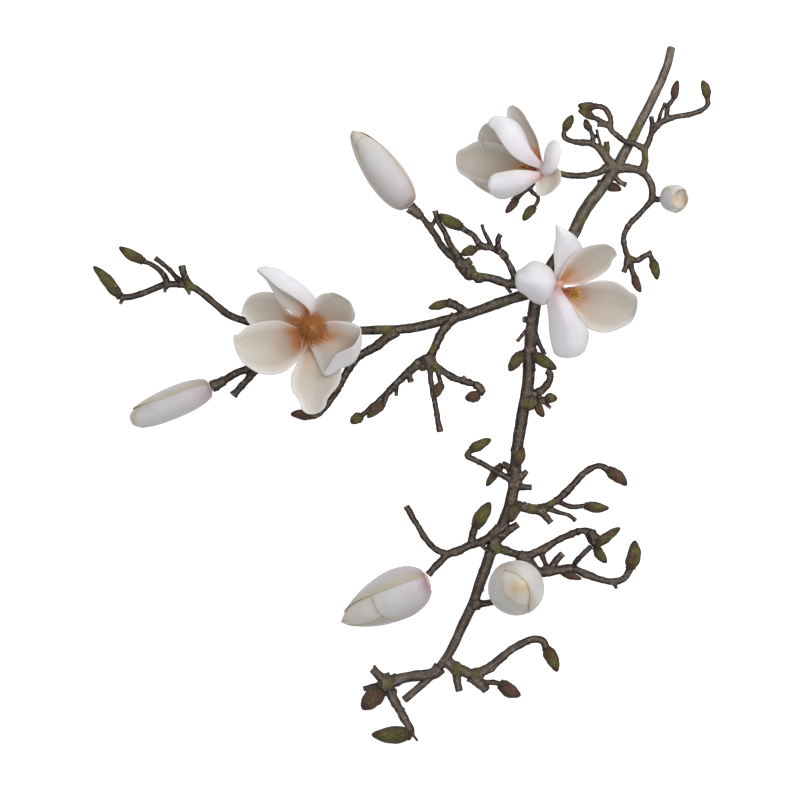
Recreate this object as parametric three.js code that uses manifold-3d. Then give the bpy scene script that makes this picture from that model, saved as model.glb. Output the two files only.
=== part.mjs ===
// A cut magnolia branch in early spring, lying on a level surface: bare forked wood with winter
// buds, three open flowers and five flower buds that are still closed.
//
// Lengths are millimetres and +Z is up. Plan positions are read off a drawing sheet that lies
// over the branch at full size: [right, down] from the sheet's top left corner. Heights are
// above the surface. The origin is on the surface, under the middle of the branch.

import * as THREE from 'three';
import { mergeVertices } from 'three/addons/utils/BufferGeometryUtils.js';
import Module from 'manifold-3d';

const wasm = await Module();
wasm.setup();

// ---- driving dimensions ----

const SHEET_MIDDLE = [400, 395]; // the sheet's point above the origin, right and down
const GAP = 0.3; // between one piece and the next one that it sits on
const MERGE = 1e-4; // vertices this close are one
const CUT = { side: 1000, deep: 100 }; // the block that is cut away below the surface

const WOOD = {
  trunkSides: 8,
  // [from this diameter, sides]
  twigSides: [[0, 4], [4.5, 5], [8, 6]],
  ringEvery: 3.9, // rings along the wood, in diameters
  samples: 60, // places along a curve that are tried when the wood below a shoot is looked for
};

const WINTER_BUD = {
  sides: 5,
  // [along, radius] as shares of the bud's length and half width
  profile: [[0, 0], [0.02, 0.6], [0.3, 1.06], [0.7, 0.8], [1, 0]],
  sink: 1.2,
};

const TEPAL = {
  thick: 1.2,
  along: 6, // facets from base to tip
  across: 4,
  root: 0.35, // where its edges start, as a share of the way from the seat's middle
  tip: [0.2, 0.6], // how far back the tip is rounded off, and how wide it is there
  fade: 0.55, // how early the bulge is full, from both ends
  last: 0.985, // the tip row stops just short of the point, so that the blade keeps a narrow end
  step: 0.02, // how far apart the places are that give the direction of the surface
};

const SEAT = { around: 10, up: 6 }; // facets of the knob that a bloom's tepals grow from

const CLOSED_BUD = {
  sides: 9,
  bands: 6,
  core: 0.92, // the core's radius as a share of the bud's own
  wraps: 3, // outer tepals round the core
  wrapHalfAngle: 80, // degrees
  wrapLift: [0.5, 1.9], // height of a tepal's two side edges above the core
  wrapSink: 0.2, // how deep they reach into the core, as a share of their radius
  wrapAlong: 5,
  wrapAcross: 4,
  wrapFrom: 0.06, // where the outer tepals start, as a share of the length
  wrapTaper: 0.93, // 1 would close an outer tepal to a point at its tip
};

const CONE = {
  sides: 8,
  // [along, radius] as shares of the cone's length and half width
  profile: [[0, 0], [0, 0.75], [0.3, 1], [0.75, 0.7], [1, 0]],
  stamensFrom: 0.2, // the lowest stamen, as a share of the cone's length
  stamensOver: 0.5, // the part of the cone's length that bears stamens
  shorter: 0.35, // how much shorter the highest stamen is than the lowest one
  goldenAngle: 137.508, // degrees between one stamen and the next
  stamenSides: 3,
  stamenThick: 2.4,
};

// ---- colours ----

const bark = new THREE.MeshStandardMaterial({ color: 0x5b4a42, roughness: 0.85, metalness: 0 });
const petal = new THREE.MeshStandardMaterial({ color: 0xe9e6e6, roughness: 0.5, metalness: 0 });
const stamen = new THREE.MeshStandardMaterial({ color: 0xd08a2e, roughness: 0.6, metalness: 0 });

// ---- from the sheet to space ----

const at = ([right, down, up = 0]) =>
  new THREE.Vector3(right - SHEET_MIDDLE[0], SHEET_MIDDLE[1] - down, up);

const toward = ([right, down, up = 0]) => new THREE.Vector3(right, -down, up);

// ---- solids ----

// A closed manifold-3d solid with its faces pointing out, from a three.js geometry.
function solid(geometry) {
  const bare = geometry.clone();
  bare.deleteAttribute('normal');
  bare.deleteAttribute('uv');
  const merged = mergeVertices(bare, MERGE);
  const corners = Array.from(merged.index.array);
  const point = merged.attributes.position;
  const triangles = [];
  let volume = 0;
  const [a, b, c] = [new THREE.Vector3(), new THREE.Vector3(), new THREE.Vector3()];
  for (let i = 0; i < corners.length; i += 3) {
    const [p, q, r] = corners.slice(i, i + 3);
    if (p === q || q === r || r === p) continue;
    triangles.push([p, q, r]);
    a.fromBufferAttribute(point, p);
    b.fromBufferAttribute(point, q);
    c.fromBufferAttribute(point, r);
    volume += a.dot(b.cross(c));
  }
  const outward = volume > 0 ? triangles : triangles.map(([p, q, r]) => [p, r, q]);
  return new wasm.Manifold(new wasm.Mesh({
    numProp: 3,
    vertProperties: new Float32Array(point.array),
    triVerts: new Uint32Array(outward.flat()),
  }));
}

const join = (solids) => solids.reduce((sum, next) => sum.add(next));

// The named mesh of a finished solid. Only its largest body is kept: the scraps that a cut
// leaves are dropped, and so are the skins of hollows sealed inside it, which fills them.
function meshOf(name, body, material) {
  const largest = body.decompose()
    .reduce((best, next) => (next.volume() > best.volume() ? next : best));
  const { vertProperties, triVerts } = largest.getMesh();
  const geometry = new THREE.BufferGeometry();
  geometry.setAttribute('position', new THREE.BufferAttribute(vertProperties, 3));
  geometry.setIndex(new THREE.BufferAttribute(triVerts, 1));
  geometry.computeVertexNormals();
  const mesh = new THREE.Mesh(geometry, material);
  mesh.name = name;
  return mesh;
}

// A round bar bent along a curve, its radius a function of the share of the way along.
function bentBar(curve, radiusAt, sides, rings) {
  const geometry = new THREE.CylinderGeometry(1, 1, 1, sides, rings);
  const frames = curve.computeFrenetFrames(rings);
  const position = geometry.attributes.position;
  for (let i = 0; i < position.count; i += 1) {
    const ring = Math.round((position.getY(i) + 0.5) * rings);
    const share = ring / rings;
    const radius = radiusAt(share);
    const place = curve.getPointAt(share)
      .addScaledVector(frames.normals[ring], position.getX(i) * radius)
      .addScaledVector(frames.binormals[ring], -position.getZ(i) * radius);
    position.setXYZ(i, place.x, place.y, place.z);
  }
  return solid(geometry);
}

// A body of revolution from base to tip; the profile is [along, radius] in shares.
function turned(base, tip, halfWidth, profile, sides) {
  const axis = tip.clone().sub(base);
  const points = profile.map(([along, radius]) =>
    new THREE.Vector2(radius * halfWidth, along * axis.length()));
  const geometry = new THREE.LatheGeometry(points, sides);
  const turn = new THREE.Quaternion().setFromUnitVectors(
    new THREE.Vector3(0, 1, 0), axis.clone().normalize());
  geometry.applyQuaternion(turn);
  geometry.translate(base.x, base.y, base.z);
  return solid(geometry);
}

// ---- wood ----

// One shoot: its route in plan from the wood that bears it, its diameters at root and end, how
// far it climbs on the way, and its winter bud as [right, down, width, climb].
const shoot = (route, thick, climb, bud = null) => ({ route, thick, climb, bud });

// The wood's own curves, kept so that a shoot can start at the height of what bears it.
const curves = {};

function heightNear([right, down], names) {
  const here = at([right, down]);
  let nearest = Infinity;
  let height = 0;
  for (const curve of names.flatMap((name) => curves[name] ?? [])) {
    for (const place of curve.getSpacedPoints(WOOD.samples)) {
      const distance = Math.hypot(place.x - here.x, place.y - here.y);
      if (distance < nearest) {
        nearest = distance;
        height = place.z;
      }
    }
  }
  return height;
}

function curveOf({ route, climb }, names) {
  if (route[0].length === 3) {
    return new THREE.CatmullRomCurve3(route.map(at), false, 'centripetal');
  }
  const root = heightNear(route[0], names);
  const flat = new THREE.CatmullRomCurve3(route.map(at), false, 'centripetal');
  const length = flat.getLength();
  let run = 0;
  const points = route.map((place, i) => {
    if (i > 0) run += at(place).distanceTo(at(route[i - 1]));
    const share = Math.min(run / length, 1);
    return at([place[0], place[1], root + climb * Math.sin(share * Math.PI / 2)]);
  });
  return new THREE.CatmullRomCurve3(points, false, 'centripetal');
}

// The solid of one shoot with its bud, its skin moved out by extra.
function shootSolid(piece, curve, extra) {
  const [root, end] = piece.thick;
  const radiusAt = (share) => (root + (end - root) * share) / 2 + extra;
  const [, sides] = WOOD.twigSides.findLast(([from]) => root >= from);
  const rings = Math.max(2, Math.round(curve.getLength() / (WOOD.ringEvery * root)));
  const bar = bentBar(curve, radiusAt, sides, rings);
  if (!piece.bud) return bar;
  const [right, down, width, climb = 2] = piece.bud;
  const end3 = curve.getPointAt(1);
  const tip = at([right, down, end3.z + climb]);
  const base = end3.addScaledVector(tip.clone().sub(end3).normalize(), -WINTER_BUD.sink);
  return bar.add(turned(base, tip, width / 2 + extra, WINTER_BUD.profile, WINTER_BUD.sides));
}

// ---- tepals ----

// A leaf-like blade between two edge curves that run from its base to its tip. bulge is how far
// its middle stands out from the straight line between the edges, as a direction in space, peak
// is where that is greatest, from 0 at the left edge to 1 at the right one, and round is 0 for a
// pointed tip and 1 for a round one.
const tepal = (left, right, bulge, peak = 0.5, round = 1) => (
  { left, right, bulge, peak, round });

function tepalPoint({ left, right, bulge, peak }, along, across) {
  const swell = Math.sin(Math.PI * along) ** TEPAL.fade;
  const lean = Math.log(0.5) / Math.log(peak);
  const arch = Math.sin(Math.PI * across ** lean);
  return left.getPoint(along).lerp(right.getPoint(along), across)
    .addScaledVector(bulge, swell * arch);
}

// The solid of a tepal whose base is sunk into the seat at the given place.
function blade(drawn, seat) {
  const edge = (route, other) => {
    const root = at(seat).lerp(at(route[0]), TEPAL.root);
    const tip = at(route.at(-1));
    const near = at(route.at(-2));
    const middle = near.clone().lerp(at(other.at(-2)), 0.5);
    const [back, wide] = TEPAL.tip;
    const straight = tip.clone().lerp(near, back);
    const blunt = tip.clone().lerp(middle, back).addScaledVector(near.sub(middle), wide);
    return new THREE.CatmullRomCurve3([
      root, ...route.slice(0, -1).map(at), straight.lerp(blunt, drawn.round), tip,
    ], false, 'centripetal');
  };
  const patch = {
    left: edge(drawn.left, drawn.right),
    right: edge(drawn.right, drawn.left),
    bulge: toward(drawn.bulge),
    peak: drawn.peak,
  };
  const { along, across, thick, last, step } = TEPAL;
  const grid = (side) => {
    const points = [];
    for (let i = 0; i <= along; i += 1) {
      for (let j = 0; j <= across; j += 1) {
        const u = i / along * last;
        const v = j / across;
        const here = tepalPoint(patch, u, v);
        const du = tepalPoint(patch, Math.min(u + step, last), v)
          .sub(tepalPoint(patch, Math.max(u - step, 0), v));
        const dv = tepalPoint(patch, u, Math.min(v + step, 1))
          .sub(tepalPoint(patch, u, Math.max(v - step, 0)));
        points.push(here.addScaledVector(du.cross(dv).normalize(), side * thick / 2));
      }
    }
    return points;
  };
  return shell(grid(1), grid(-1), along, across);
}

// A closed slab from two like grids of points, split into triangles alike on both faces.
function shell(front, back, rows, columns) {
  const width = columns + 1;
  const second = front.length;
  const index = [];
  const quad = (a, b, c, d) => index.push(a, b, c, a, c, d);
  for (let i = 0; i < rows; i += 1) {
    for (let j = 0; j < columns; j += 1) {
      const a = i * width + j;
      quad(a, a + 1, a + width + 1, a + width);
      index.push(second + a, second + a + width + 1, second + a + 1);
      index.push(second + a, second + a + width, second + a + width + 1);
    }
  }
  const rim = [];
  for (let j = 0; j < columns; j += 1) rim.push(j);
  for (let i = 0; i < rows; i += 1) rim.push(i * width + columns);
  for (let j = columns; j > 0; j -= 1) rim.push(rows * width + j);
  for (let i = rows; i > 0; i -= 1) rim.push(i * width);
  rim.forEach((here, k) => {
    const next = rim[(k + 1) % rim.length];
    quad(next, here, second + here, second + next);
  });
  const geometry = new THREE.BufferGeometry();
  geometry.setAttribute('position', new THREE.Float32BufferAttribute(
    [...front, ...back].flatMap((place) => place.toArray()), 3));
  geometry.setIndex(index);
  return solid(geometry);
}

// ---- stamens ----

// A cone of pistils with stamens all round its foot. spread is how far out they point.
function cone({ foot, top, width, stamens, reach, spread }) {
  const [base, peak] = [at(foot), at(top)];
  const axis = peak.clone().sub(base);
  const parts = [turned(base, peak, width / 2, CONE.profile, CONE.sides)];
  const turn = new THREE.Quaternion().setFromUnitVectors(
    new THREE.Vector3(0, 0, 1), axis.clone().normalize());
  for (let i = 0; i < stamens; i += 1) {
    const share = i / stamens;
    const angle = THREE.MathUtils.degToRad(CONE.goldenAngle * i);
    const slope = THREE.MathUtils.degToRad(spread * (1 - share));
    const out = new THREE.Vector3(
      Math.cos(angle) * Math.sin(slope), Math.sin(angle) * Math.sin(slope), Math.cos(slope));
    out.applyQuaternion(turn);
    const start = base.clone()
      .addScaledVector(axis, CONE.stamensFrom + CONE.stamensOver * share);
    const length = reach * (1 - CONE.shorter * share);
    const spike = new THREE.ConeGeometry(CONE.stamenThick / 2, length, CONE.stamenSides);
    spike.translate(0, length / 2, 0);
    spike.applyQuaternion(new THREE.Quaternion().setFromUnitVectors(
      new THREE.Vector3(0, 1, 0), out));
    spike.translate(start.x, start.y, start.z);
    parts.push(solid(spike));
  }
  return join(parts);
}

// ---- closed flower buds ----

// The half width of a bud at a share of its length, as a share of its greatest half width. The
// two numbers of full say how slowly it widens from its base and from its tip.
const fullness = ([blunt, sharp], along) => {
  const widest = blunt / (blunt + sharp);
  const most = widest ** blunt * (1 - widest) ** sharp;
  return along ** blunt * (1 - along) ** sharp / most;
};

// The core that the outer tepals wrap, its skin moved out by extra.
function budCore({ base, tip, width, full }, extra) {
  const profile = [];
  for (let i = 0; i <= CLOSED_BUD.bands; i += 1) {
    const along = (1 - Math.cos(Math.PI * i / CLOSED_BUD.bands)) / 2;
    profile.push([along, fullness(full, along)]);
  }
  const [start, end] = [at(base), at(tip)];
  const stretch = end.clone().sub(start).setLength(extra);
  return turned(start.sub(stretch), end.add(stretch), CLOSED_BUD.core * width / 2 + extra,
    profile, CLOSED_BUD.sides);
}

function closedBud(drawn) {
  const [start, end] = [at(drawn.base), at(drawn.tip)];
  const axis = end.clone().sub(start);
  const turn = new THREE.Quaternion().setFromUnitVectors(
    new THREE.Vector3(0, 1, 0), axis.clone().normalize());
  const { wraps, wrapHalfAngle, wrapLift, wrapSink, wrapAlong, wrapAcross } = CLOSED_BUD;
  const { wrapFrom, wrapTaper } = CLOSED_BUD;
  const place = (along, angle, lift) => {
    const skin = fullness(drawn.full, along) * drawn.width / 2;
    const radius = lift === null ? skin * (CLOSED_BUD.core - wrapSink) : skin + lift;
    return new THREE.Vector3(Math.cos(angle) * radius, along * axis.length(),
      Math.sin(angle) * radius).applyQuaternion(turn).add(start);
  };
  const parts = [budCore(drawn, 0)];
  for (let wrap = 0; wrap < wraps; wrap += 1) {
    const middle = 2 * Math.PI * wrap / wraps + THREE.MathUtils.degToRad(drawn.turn);
    const last = drawn.ends[wrap];
    const grid = (outside) => {
      const points = [];
      for (let i = 0; i <= wrapAlong; i += 1) {
        const along = wrapFrom + (last - wrapFrom) * i / wrapAlong;
        const narrow = Math.sqrt(1 - (wrapTaper * i / wrapAlong) ** 3);
        for (let j = 0; j <= wrapAcross; j += 1) {
          const v = j / wrapAcross;
          const angle = middle
            + THREE.MathUtils.degToRad(wrapHalfAngle) * narrow * (2 * v - 1);
          const lift = THREE.MathUtils.lerp(...wrapLift, v);
          points.push(place(along, angle, outside ? lift : null));
        }
      }
      return points;
    };
    parts.push(shell(grid(true), grid(false), wrapAlong, wrapAcross));
  }
  return join(parts);
}

// ---- the drawing: flowers ----

const flowers = {
  // spread open towards the viewer
  flower_1: {
    seat: { place: [309, 330, 40], radius: 6 },
    tepals: [
      tepal( // lower left
        [[303, 330, 42], [281, 321, 46], [262, 322, 51], [247, 327, 55], [238, 335, 59], [235, 345, 61]],
        [[308, 345, 42], [298, 360, 47], [282, 373, 52], [262, 374, 56], [245, 364, 60], [235, 345, 61]],
        [0, 0, -9]),
      tepal( // upper left
        [[302, 326, 41], [282, 327, 42], [263, 329, 44], [251, 325, 48], [245, 317, 52], [243, 309, 54]],
        [[303, 320, 42], [288, 311, 48], [277, 295, 51], [264, 292, 53], [251, 296, 54], [243, 309, 54]],
        [0, 0, -6]),
      tepal( // top, a half tube that opens to the lower left
        [[303, 322, 46], [291, 312, 51], [281, 304, 55], [274, 294, 59], [267, 281, 64], [257, 270.5, 68]],
        [[310, 322, 46], [309, 310, 60], [294, 298, 70], [280, 290, 74], [269, 280, 73], [257, 270.5, 68]],
        [16, -15, -3]),
      tepal( // upper right
        [[310, 322, 43], [311, 311, 50], [314, 302, 54], [321, 295, 58], [331, 293, 61], [343, 297, 63]],
        [[318, 331, 43], [338, 332, 48], [351, 327, 52], [355.5, 316, 57], [352, 305, 61], [343, 297, 63]],
        [0, 0, -7]),
      tepal( // right, its lower edge rolled over
        [[309, 341, 45], [311, 348, 49], [314, 355, 52], [317, 362, 55], [320, 368, 58], [323, 374, 61]],
        [[318, 324, 46], [341, 321, 60], [360.5, 328, 67], [355, 344, 74], [336, 355, 72], [323, 374, 61]],
        [10, 14, -14], 0.7, 0),
      tepal( // bottom
        [[303, 338, 40], [299, 358, 44], [292, 375, 48], [292, 389, 51], [300, 402, 54], [314, 414, 56]],
        [[315, 338, 40], [330, 352, 44], [341, 369, 47], [339, 384, 50], [328, 398, 54], [314, 414, 56]],
        [0, 0, -7]),
    ],
    cone: {
      foot: [309, 330.5, 46.4], top: [314, 328, 64], width: 12, stamens: 26, reach: 17, spread: 58,
    },
  },
  // faces down to the right, its front tepal turned down
  flower_2: {
    seat: { place: [558, 285, 48], radius: 6 },
    tepals: [
      tepal( // left, a deep spoon seen from behind
        [[557, 281, 50], [551, 270, 53], [543, 264, 55], [532, 262, 56], [521.5, 269, 55], [515, 281.5, 53]],
        [[555, 289, 50], [551, 299, 53], [544, 305, 54], [534, 303, 54], [523, 294, 54], [515, 281.5, 53]],
        [0, 0, 13]),
      tepal( // top, with a curled point
        [[556, 280, 50], [554, 266, 54], [553, 252, 57], [555, 238, 60], [555, 225, 63]],
        [[564, 281, 49], [579, 265, 50], [582, 249, 54], [573, 235.5, 59], [555, 225, 63]],
        [0, 0, 6], 0.5, 0),
      tepal( // upper right
        [[558, 280, 54], [562, 269, 60], [571, 257, 65], [584, 248, 69], [599, 245, 72], [613, 250, 74]],
        [[565, 285, 50], [582, 284, 53], [598, 277, 58], [608, 269, 63], [612, 260, 68], [613, 250, 74]],
        [0, 0, -7]),
      tepal( // right
        [[564, 288, 52], [582, 284.5, 57], [599, 281, 60], [616, 283, 63], [630, 293, 66], [636, 308, 66]],
        [[561, 292, 48], [574, 310, 49], [587, 328, 53], [605, 333, 57], [625, 326, 62], [636, 308, 66]],
        [0, 0, -8]),
      tepal( // bottom, its back to the viewer
        [[554, 289, 53], [547, 300, 58], [548, 317, 59], [549, 333, 56], [552, 348, 52], [568, 358, 48]],
        [[561, 291, 56], [569, 303, 65], [578, 318, 63], [588, 332, 58], [586, 347, 53], [568, 358, 48]],
        [0, 0, 8]),
    ],
    cone: {
      foot: [567, 289, 56], top: [578, 297, 65], width: 8, stamens: 16, reach: 10, spread: 46,
    },
  },
  // half open, seen from the side, its mouth to the left
  flower_3: {
    seat: { place: [541, 172, 46], radius: 5.5 },
    tepals: [
      tepal( // far wall, upper lobe
        [[539, 168, 44], [522, 148, 39], [506, 133, 36], [493, 124, 34], [480, 130, 30]],
        [[536, 172, 42], [515, 163, 27], [496, 157, 21], [481, 148, 22], [480, 130, 30]],
        [0, 0, -4]),
      tepal( // far wall, the long lobe
        [[538, 170, 42], [517, 152, 30], [496, 142, 22], [476, 141, 18], [463, 148, 18], [456, 160, 19]],
        [[538, 174, 42], [517, 186, 30], [498, 190, 22], [480, 185, 19], [464, 175, 18], [456, 160, 19]],
        [0, 0, -8]),
      tepal( // far wall, lower lobe
        [[537, 173, 42], [516, 179, 31], [497, 181, 26], [483, 179, 25], [471, 179, 26]],
        [[539, 177, 46], [520, 191, 42], [503, 198, 37], [487, 192, 31], [471, 179, 26]],
        [0, 3, -4]),
      tepal( // near wall, above
        [[541, 166, 48], [530, 149, 51], [524, 134, 53], [515, 122, 55], [502, 117.5, 59], [489, 121, 64]],
        [[540, 170, 51], [525, 165, 63], [511, 157, 70], [500, 143, 73], [493, 131, 70], [489, 121, 64]],
        [3, -4, 7]),
      tepal( // behind it, with its edge turned out
        [[539, 166, 44], [527, 151, 43], [515, 134, 43], [508, 121, 44], [512, 106, 49]],
        [[542, 166, 47], [539, 150, 52], [536, 138, 57], [528, 123, 58], [512, 106, 49]],
        [4, -1, -7], 0.6),
      tepal( // near wall, below
        [[540, 173, 51], [525, 171, 63], [511, 171.5, 69], [498, 174, 70], [488, 188, 64]],
        [[541, 177, 48], [530, 186, 50], [519, 194, 51], [503, 200, 54], [488, 188, 64]],
        [0, 4, 6]),
      tepal( // bent back, above
        [[540, 172, 51], [543, 163, 53], [544, 155, 55], [554, 141, 59]],
        [[544, 176, 52], [555, 171, 61], [560, 156, 63], [554, 141, 59]],
        [0, 0, 4]),
      tepal( // bent back, below
        [[540, 175, 49], [535, 182, 50], [536, 189, 51], [545, 196, 54]],
        [[546, 172, 50], [558, 169, 53], [560.5, 181, 55], [545, 196, 54]],
        [0, 0, -4]),
    ],
    cone: {
      foot: [535.5, 171.2, 46.6], top: [520, 167, 46], width: 8, stamens: 14, reach: 12, spread: 40,
    },
  },
};

// One closed flower bud: its base and tip, its width, how far its outer tepals are turned round
// its axis in degrees, how far along each of them ends, and how full it is.
const closed = (base, tip, width, turn, ends, full) => ({ base, tip, width, turn, ends, full });

const buds = {
  bud_1: closed([410, 207, 36], [352, 131, 44], 37, 20, [0.99, 0.94, 0.9], [0.4, 0.65]),
  bud_2: closed([211, 386.5, 22], [130, 421, 24], 31, 50, [0.98, 0.9, 0.95], [0.3, 0.32]),
  bud_3: closed([428, 575, 31], [341, 622.5, 33], 50, 100, [0.97, 0.92, 0.9], [0.5, 0.72]),
  bud_4: closed([503, 596, 38], [523, 578.5, 104], 55, 10, [0.97, 0.93, 0.9], [0.5, 0.55]),
  bud_5: closed([661, 199, 24], [688, 196, 38], 27, 0, [0.96, 0.93, 0.9], [0.5, 0.55]),
};

// ---- the drawing: wood ----

const trunk = {
  ...shoot([
    [673, 45.5, 3.2], [668, 65, 7.4], [654, 97, 13], [641, 122, 17], [629, 145, 20], [617, 166, 24],
    [603, 186, 27], [585, 210, 30], [572, 236, 32], [553, 264, 34], [538, 292, 34],
    [533, 320, 34], [530, 348, 34], [528, 384, 34], [523, 412, 34], [517, 451, 33],
    [514, 487, 32], [506, 517, 31], [494, 543, 30], [487, 564, 29], [480, 583, 28],
    [473, 604, 26], [463, 625, 25], [453, 647, 23], [444, 662, 22], [430, 678, 19],
    [404, 701, 16],
  ], [8.4, 8], 0),
  girths: [[0, 8.4], [0.12, 9.4], [0.25, 12.6], [0.5, 12.4], [0.75, 12], [0.9, 9.5], [1, 7.6]],
};

const sprays = [
  {
    name: 'main_stem',
    on: [],
    seats: ['bud_4', 'flower_2'],
    shoots: [
      trunk,
      shoot([[541, 288], [550, 287], [558, 285]], [8, 7], 14), // flower 2
      shoot([[612, 172], [619, 181], [627, 185]], [6, 4.4], 2),
      shoot([[604, 180], [608, 186]], [6, 5], -6, [622, 190, 9]),
      shoot([[604, 182], [598, 181]], [4.4, 3.6], -2),
      shoot([[532, 320], [523, 319.5]], [6, 5.6], 4),
      shoot([[531, 325], [524, 333], [517, 341.6]], [4.6, 3.4], 6),
      shoot([[533, 328], [537, 340], [545, 355]], [6.8, 4], 4),
      shoot([[529, 350], [523, 353]], [6, 6], 5, [509, 371.5, 12]),
      shoot([[530, 350], [533, 354.5]], [6, 6], 5, [556.5, 369.5, 11.5]),
      shoot([[528, 397], [538, 392.5], [545, 387.5], [550, 380], [550, 373], [546, 370.5]],
        [9, 6], 6),
      shoot([[527, 402], [538, 401], [546, 399]], [6.6, 5.6], 3, [557.5, 399, 10]),
      shoot([[536, 402], [544, 403], [551, 408]], [4, 3.4], 3),
      shoot([[526, 403], [537, 404]], [6, 6], 6, [544, 417, 8.5]),
      shoot([[523, 403], [530, 403.5], [538, 401]], [12.5, 9], 5),
      shoot([[516, 468], [517, 464]], [6, 6], 5, [522, 446, 10.5]),
      shoot([[513, 484], [520, 479], [527, 470.5]], [7.4, 4.8], 3),
      shoot([[513, 485], [523, 487], [532, 487.5]], [8, 5.6], 2),
      shoot([[510, 500], [517.5, 505]], [6, 6], 6, [511, 522.5, 11]),
      shoot([[493, 543], [503, 535], [518, 524]], [10.5, 6.4], 6),
      shoot([[473, 603], [484, 603.5], [495, 601], [503, 596]], [7.4, 6], 12), // bud 4
    ],
  },
  {
    name: 'upper_right_spray',
    on: ['main_stem'],
    seats: ['bud_5'],
    shoots: [
      shoot([[618, 168], [632, 168], [643, 172], [650, 180], [653, 189], [653, 199]], [9, 7], -4),
      shoot([[653, 199], [661, 199]], [5, 5], 4), // bud 5
      shoot([[653, 199], [649, 204], [640, 213.6], [630.5, 223], [625, 233], [624.7, 242],
        [627, 252], [630, 258]], [5.8, 5.6], -4),
      shoot([[630, 258], [637, 260], [646, 255], [650, 254], [653, 260]], [6, 5], 4,
        [657.5, 280, 9.5]),
      shoot([[646, 255], [652, 250.5]], [4, 3.4], 0),
      shoot([[630, 256], [631, 265], [635, 275]], [8, 5], -2, [642, 292, 8.5]),
      shoot([[629, 258], [627, 264], [624, 272]], [6.4, 5], 3),
      shoot([[643, 173], [645.5, 161], [645.7, 149], [650, 139], [654, 130], [662, 122],
        [670, 118], [680, 116], [693, 113], [702, 110], [708, 104], [707.5, 97]], [7, 5.4], 10,
      [702, 80, 9.6]),
      shoot([[667, 118], [668, 107.5], [674, 98]], [4.8, 4.4], 4, [678, 80, 8.2]),
      shoot([[657, 127], [661, 112], [665, 102]], [4, 3], 6),
      shoot([[652, 133], [652.5, 125], [651.5, 116]], [5, 4.6], 5),
      shoot([[645.7, 149], [641.6, 147], [633.5, 143], [625, 141], [617, 135], [611, 129],
        [611, 120], [608, 112], [604, 107.6], [595, 106]], [6, 5.4], 9, [577.5, 105, 9.4]),
      shoot([[611, 127], [601, 121], [593, 117.5]], [5, 4.4], 3, [577.5, 110.5, 8.2]),
      shoot([[613, 131], [607, 127], [597, 125]], [3.8, 3], 4),
    ],
  },
  {
    name: 'upper_left_spray',
    on: ['main_stem'],
    seats: [],
    shoots: [
      shoot([[615, 167], [605, 155.5], [599, 148], [591, 143], [580, 142], [570, 140],
        [564, 136], [565, 129]], [9, 4.6], 2, [573, 114.5, 9.4]),
      shoot([[592, 144], [593.5, 137], [590, 129]], [5.4, 4.4], 3, [585.5, 118.5, 7.6]),
      shoot([[604, 152], [599, 140], [597, 129]], [3.8, 3], 5),
      shoot([[607, 156], [607.5, 148], [606.5, 141]], [5, 5.6], 2),
    ],
  },
  {
    name: 'flower_3_twig',
    on: ['main_stem', 'upper_left_spray'],
    seats: ['flower_3'],
    shoots: [
      shoot([[613, 170], [609, 167], [599, 172], [580, 176], [570, 175.5], [558, 173], [541, 172]],
        [7.4, 6.2], 17),
      shoot([[558, 174], [548, 176], [541, 178], [536, 181], [530, 188]], [4.6, 4.2], -6),
      shoot([[530, 188], [519.6, 195], [511, 200.5]], [4.2, 3], 3),
      shoot([[522, 193.5], [517, 200]], [3.8, 3.4], -2, [505.5, 213.5, 8]),
      shoot([[530, 188], [532, 192], [538, 197], [537, 203], [534, 207]], [4.2, 3.8], 2,
        [523, 221, 9.5]),
    ],
  },
  {
    name: 'left_limb',
    on: ['main_stem'],
    seats: ['flower_1', 'bud_2'],
    shoots: [
      shoot([
        [538, 291, 34], [520, 296, 33], [502, 302, 32], [471, 313, 31], [446, 320, 30],
        [411, 328, 29], [376, 330, 28], [330, 331, 26], [290, 330, 24], [246, 321, 23],
        [229, 315, 22], [215.5, 304.6, 20], [204, 295, 18], [190, 286, 15], [165, 284, 12],
        [153.5, 288, 9], [142, 292.6, 7], [130.5, 296, 5.2], [119, 297, 4.5],
      ], [11.2, 6.4], 0, [91, 265.5, 11.4, 0]),
      shoot([[316, 331], [311, 331], [309, 330]], [7, 7], 14), // flower 1
      shoot([[122, 297], [119, 303.5]], [4, 3], 4),
      shoot([[116, 293], [114, 285]], [4, 3], 5),
      shoot([[166, 284], [165, 278], [159, 270], [153.5, 265.6], [143, 261]], [6, 4.6], 8,
        [118.5, 246, 10.6, 4]),
      shoot([[183, 285], [172, 272.5], [163, 264], [154.6, 257.6]], [5.8, 4.8], 14),
      shoot([[189, 286], [183, 272.5], [181.4, 265]], [7.4, 6.8], 8),
      shoot([[165, 285], [164, 292]], [4, 3], 3),
      shoot([[186, 286], [189, 294.5]], [4, 3], 3),
      shoot([[466, 314], [458, 306.5], [447, 302.4]], [7, 8.6], 6, [428, 308, 9]),
      shoot([[292, 331], [275, 350], [259, 366], [246, 369], [232.5, 375], [221, 382], [211, 386]],
        [8, 7.4], -3), // bud 2
      shoot([[224, 380.5], [211, 386.5]], [8, 10.8], 0),
      shoot([[258, 366], [250, 376], [232.5, 395.6]], [7.5, 7], -4),
    ],
  },
  {
    name: 'limb_fork',
    on: ['left_limb'],
    seats: [],
    shoots: [
      shoot([[396, 330], [386, 338], [376, 346.5], [365.5, 351.6], [357, 358], [349, 369],
        [342, 381], [335, 394], [325, 407.5], [316, 416], [310, 416.5]], [10.4, 5.4], -9,
      [290, 414.6, 10, 1]),
      shoot([[340, 384], [337, 390], [333, 392]], [4.4, 4], 3),
    ],
  },
  {
    name: 'middle_fork',
    on: ['left_limb'],
    seats: [],
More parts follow.
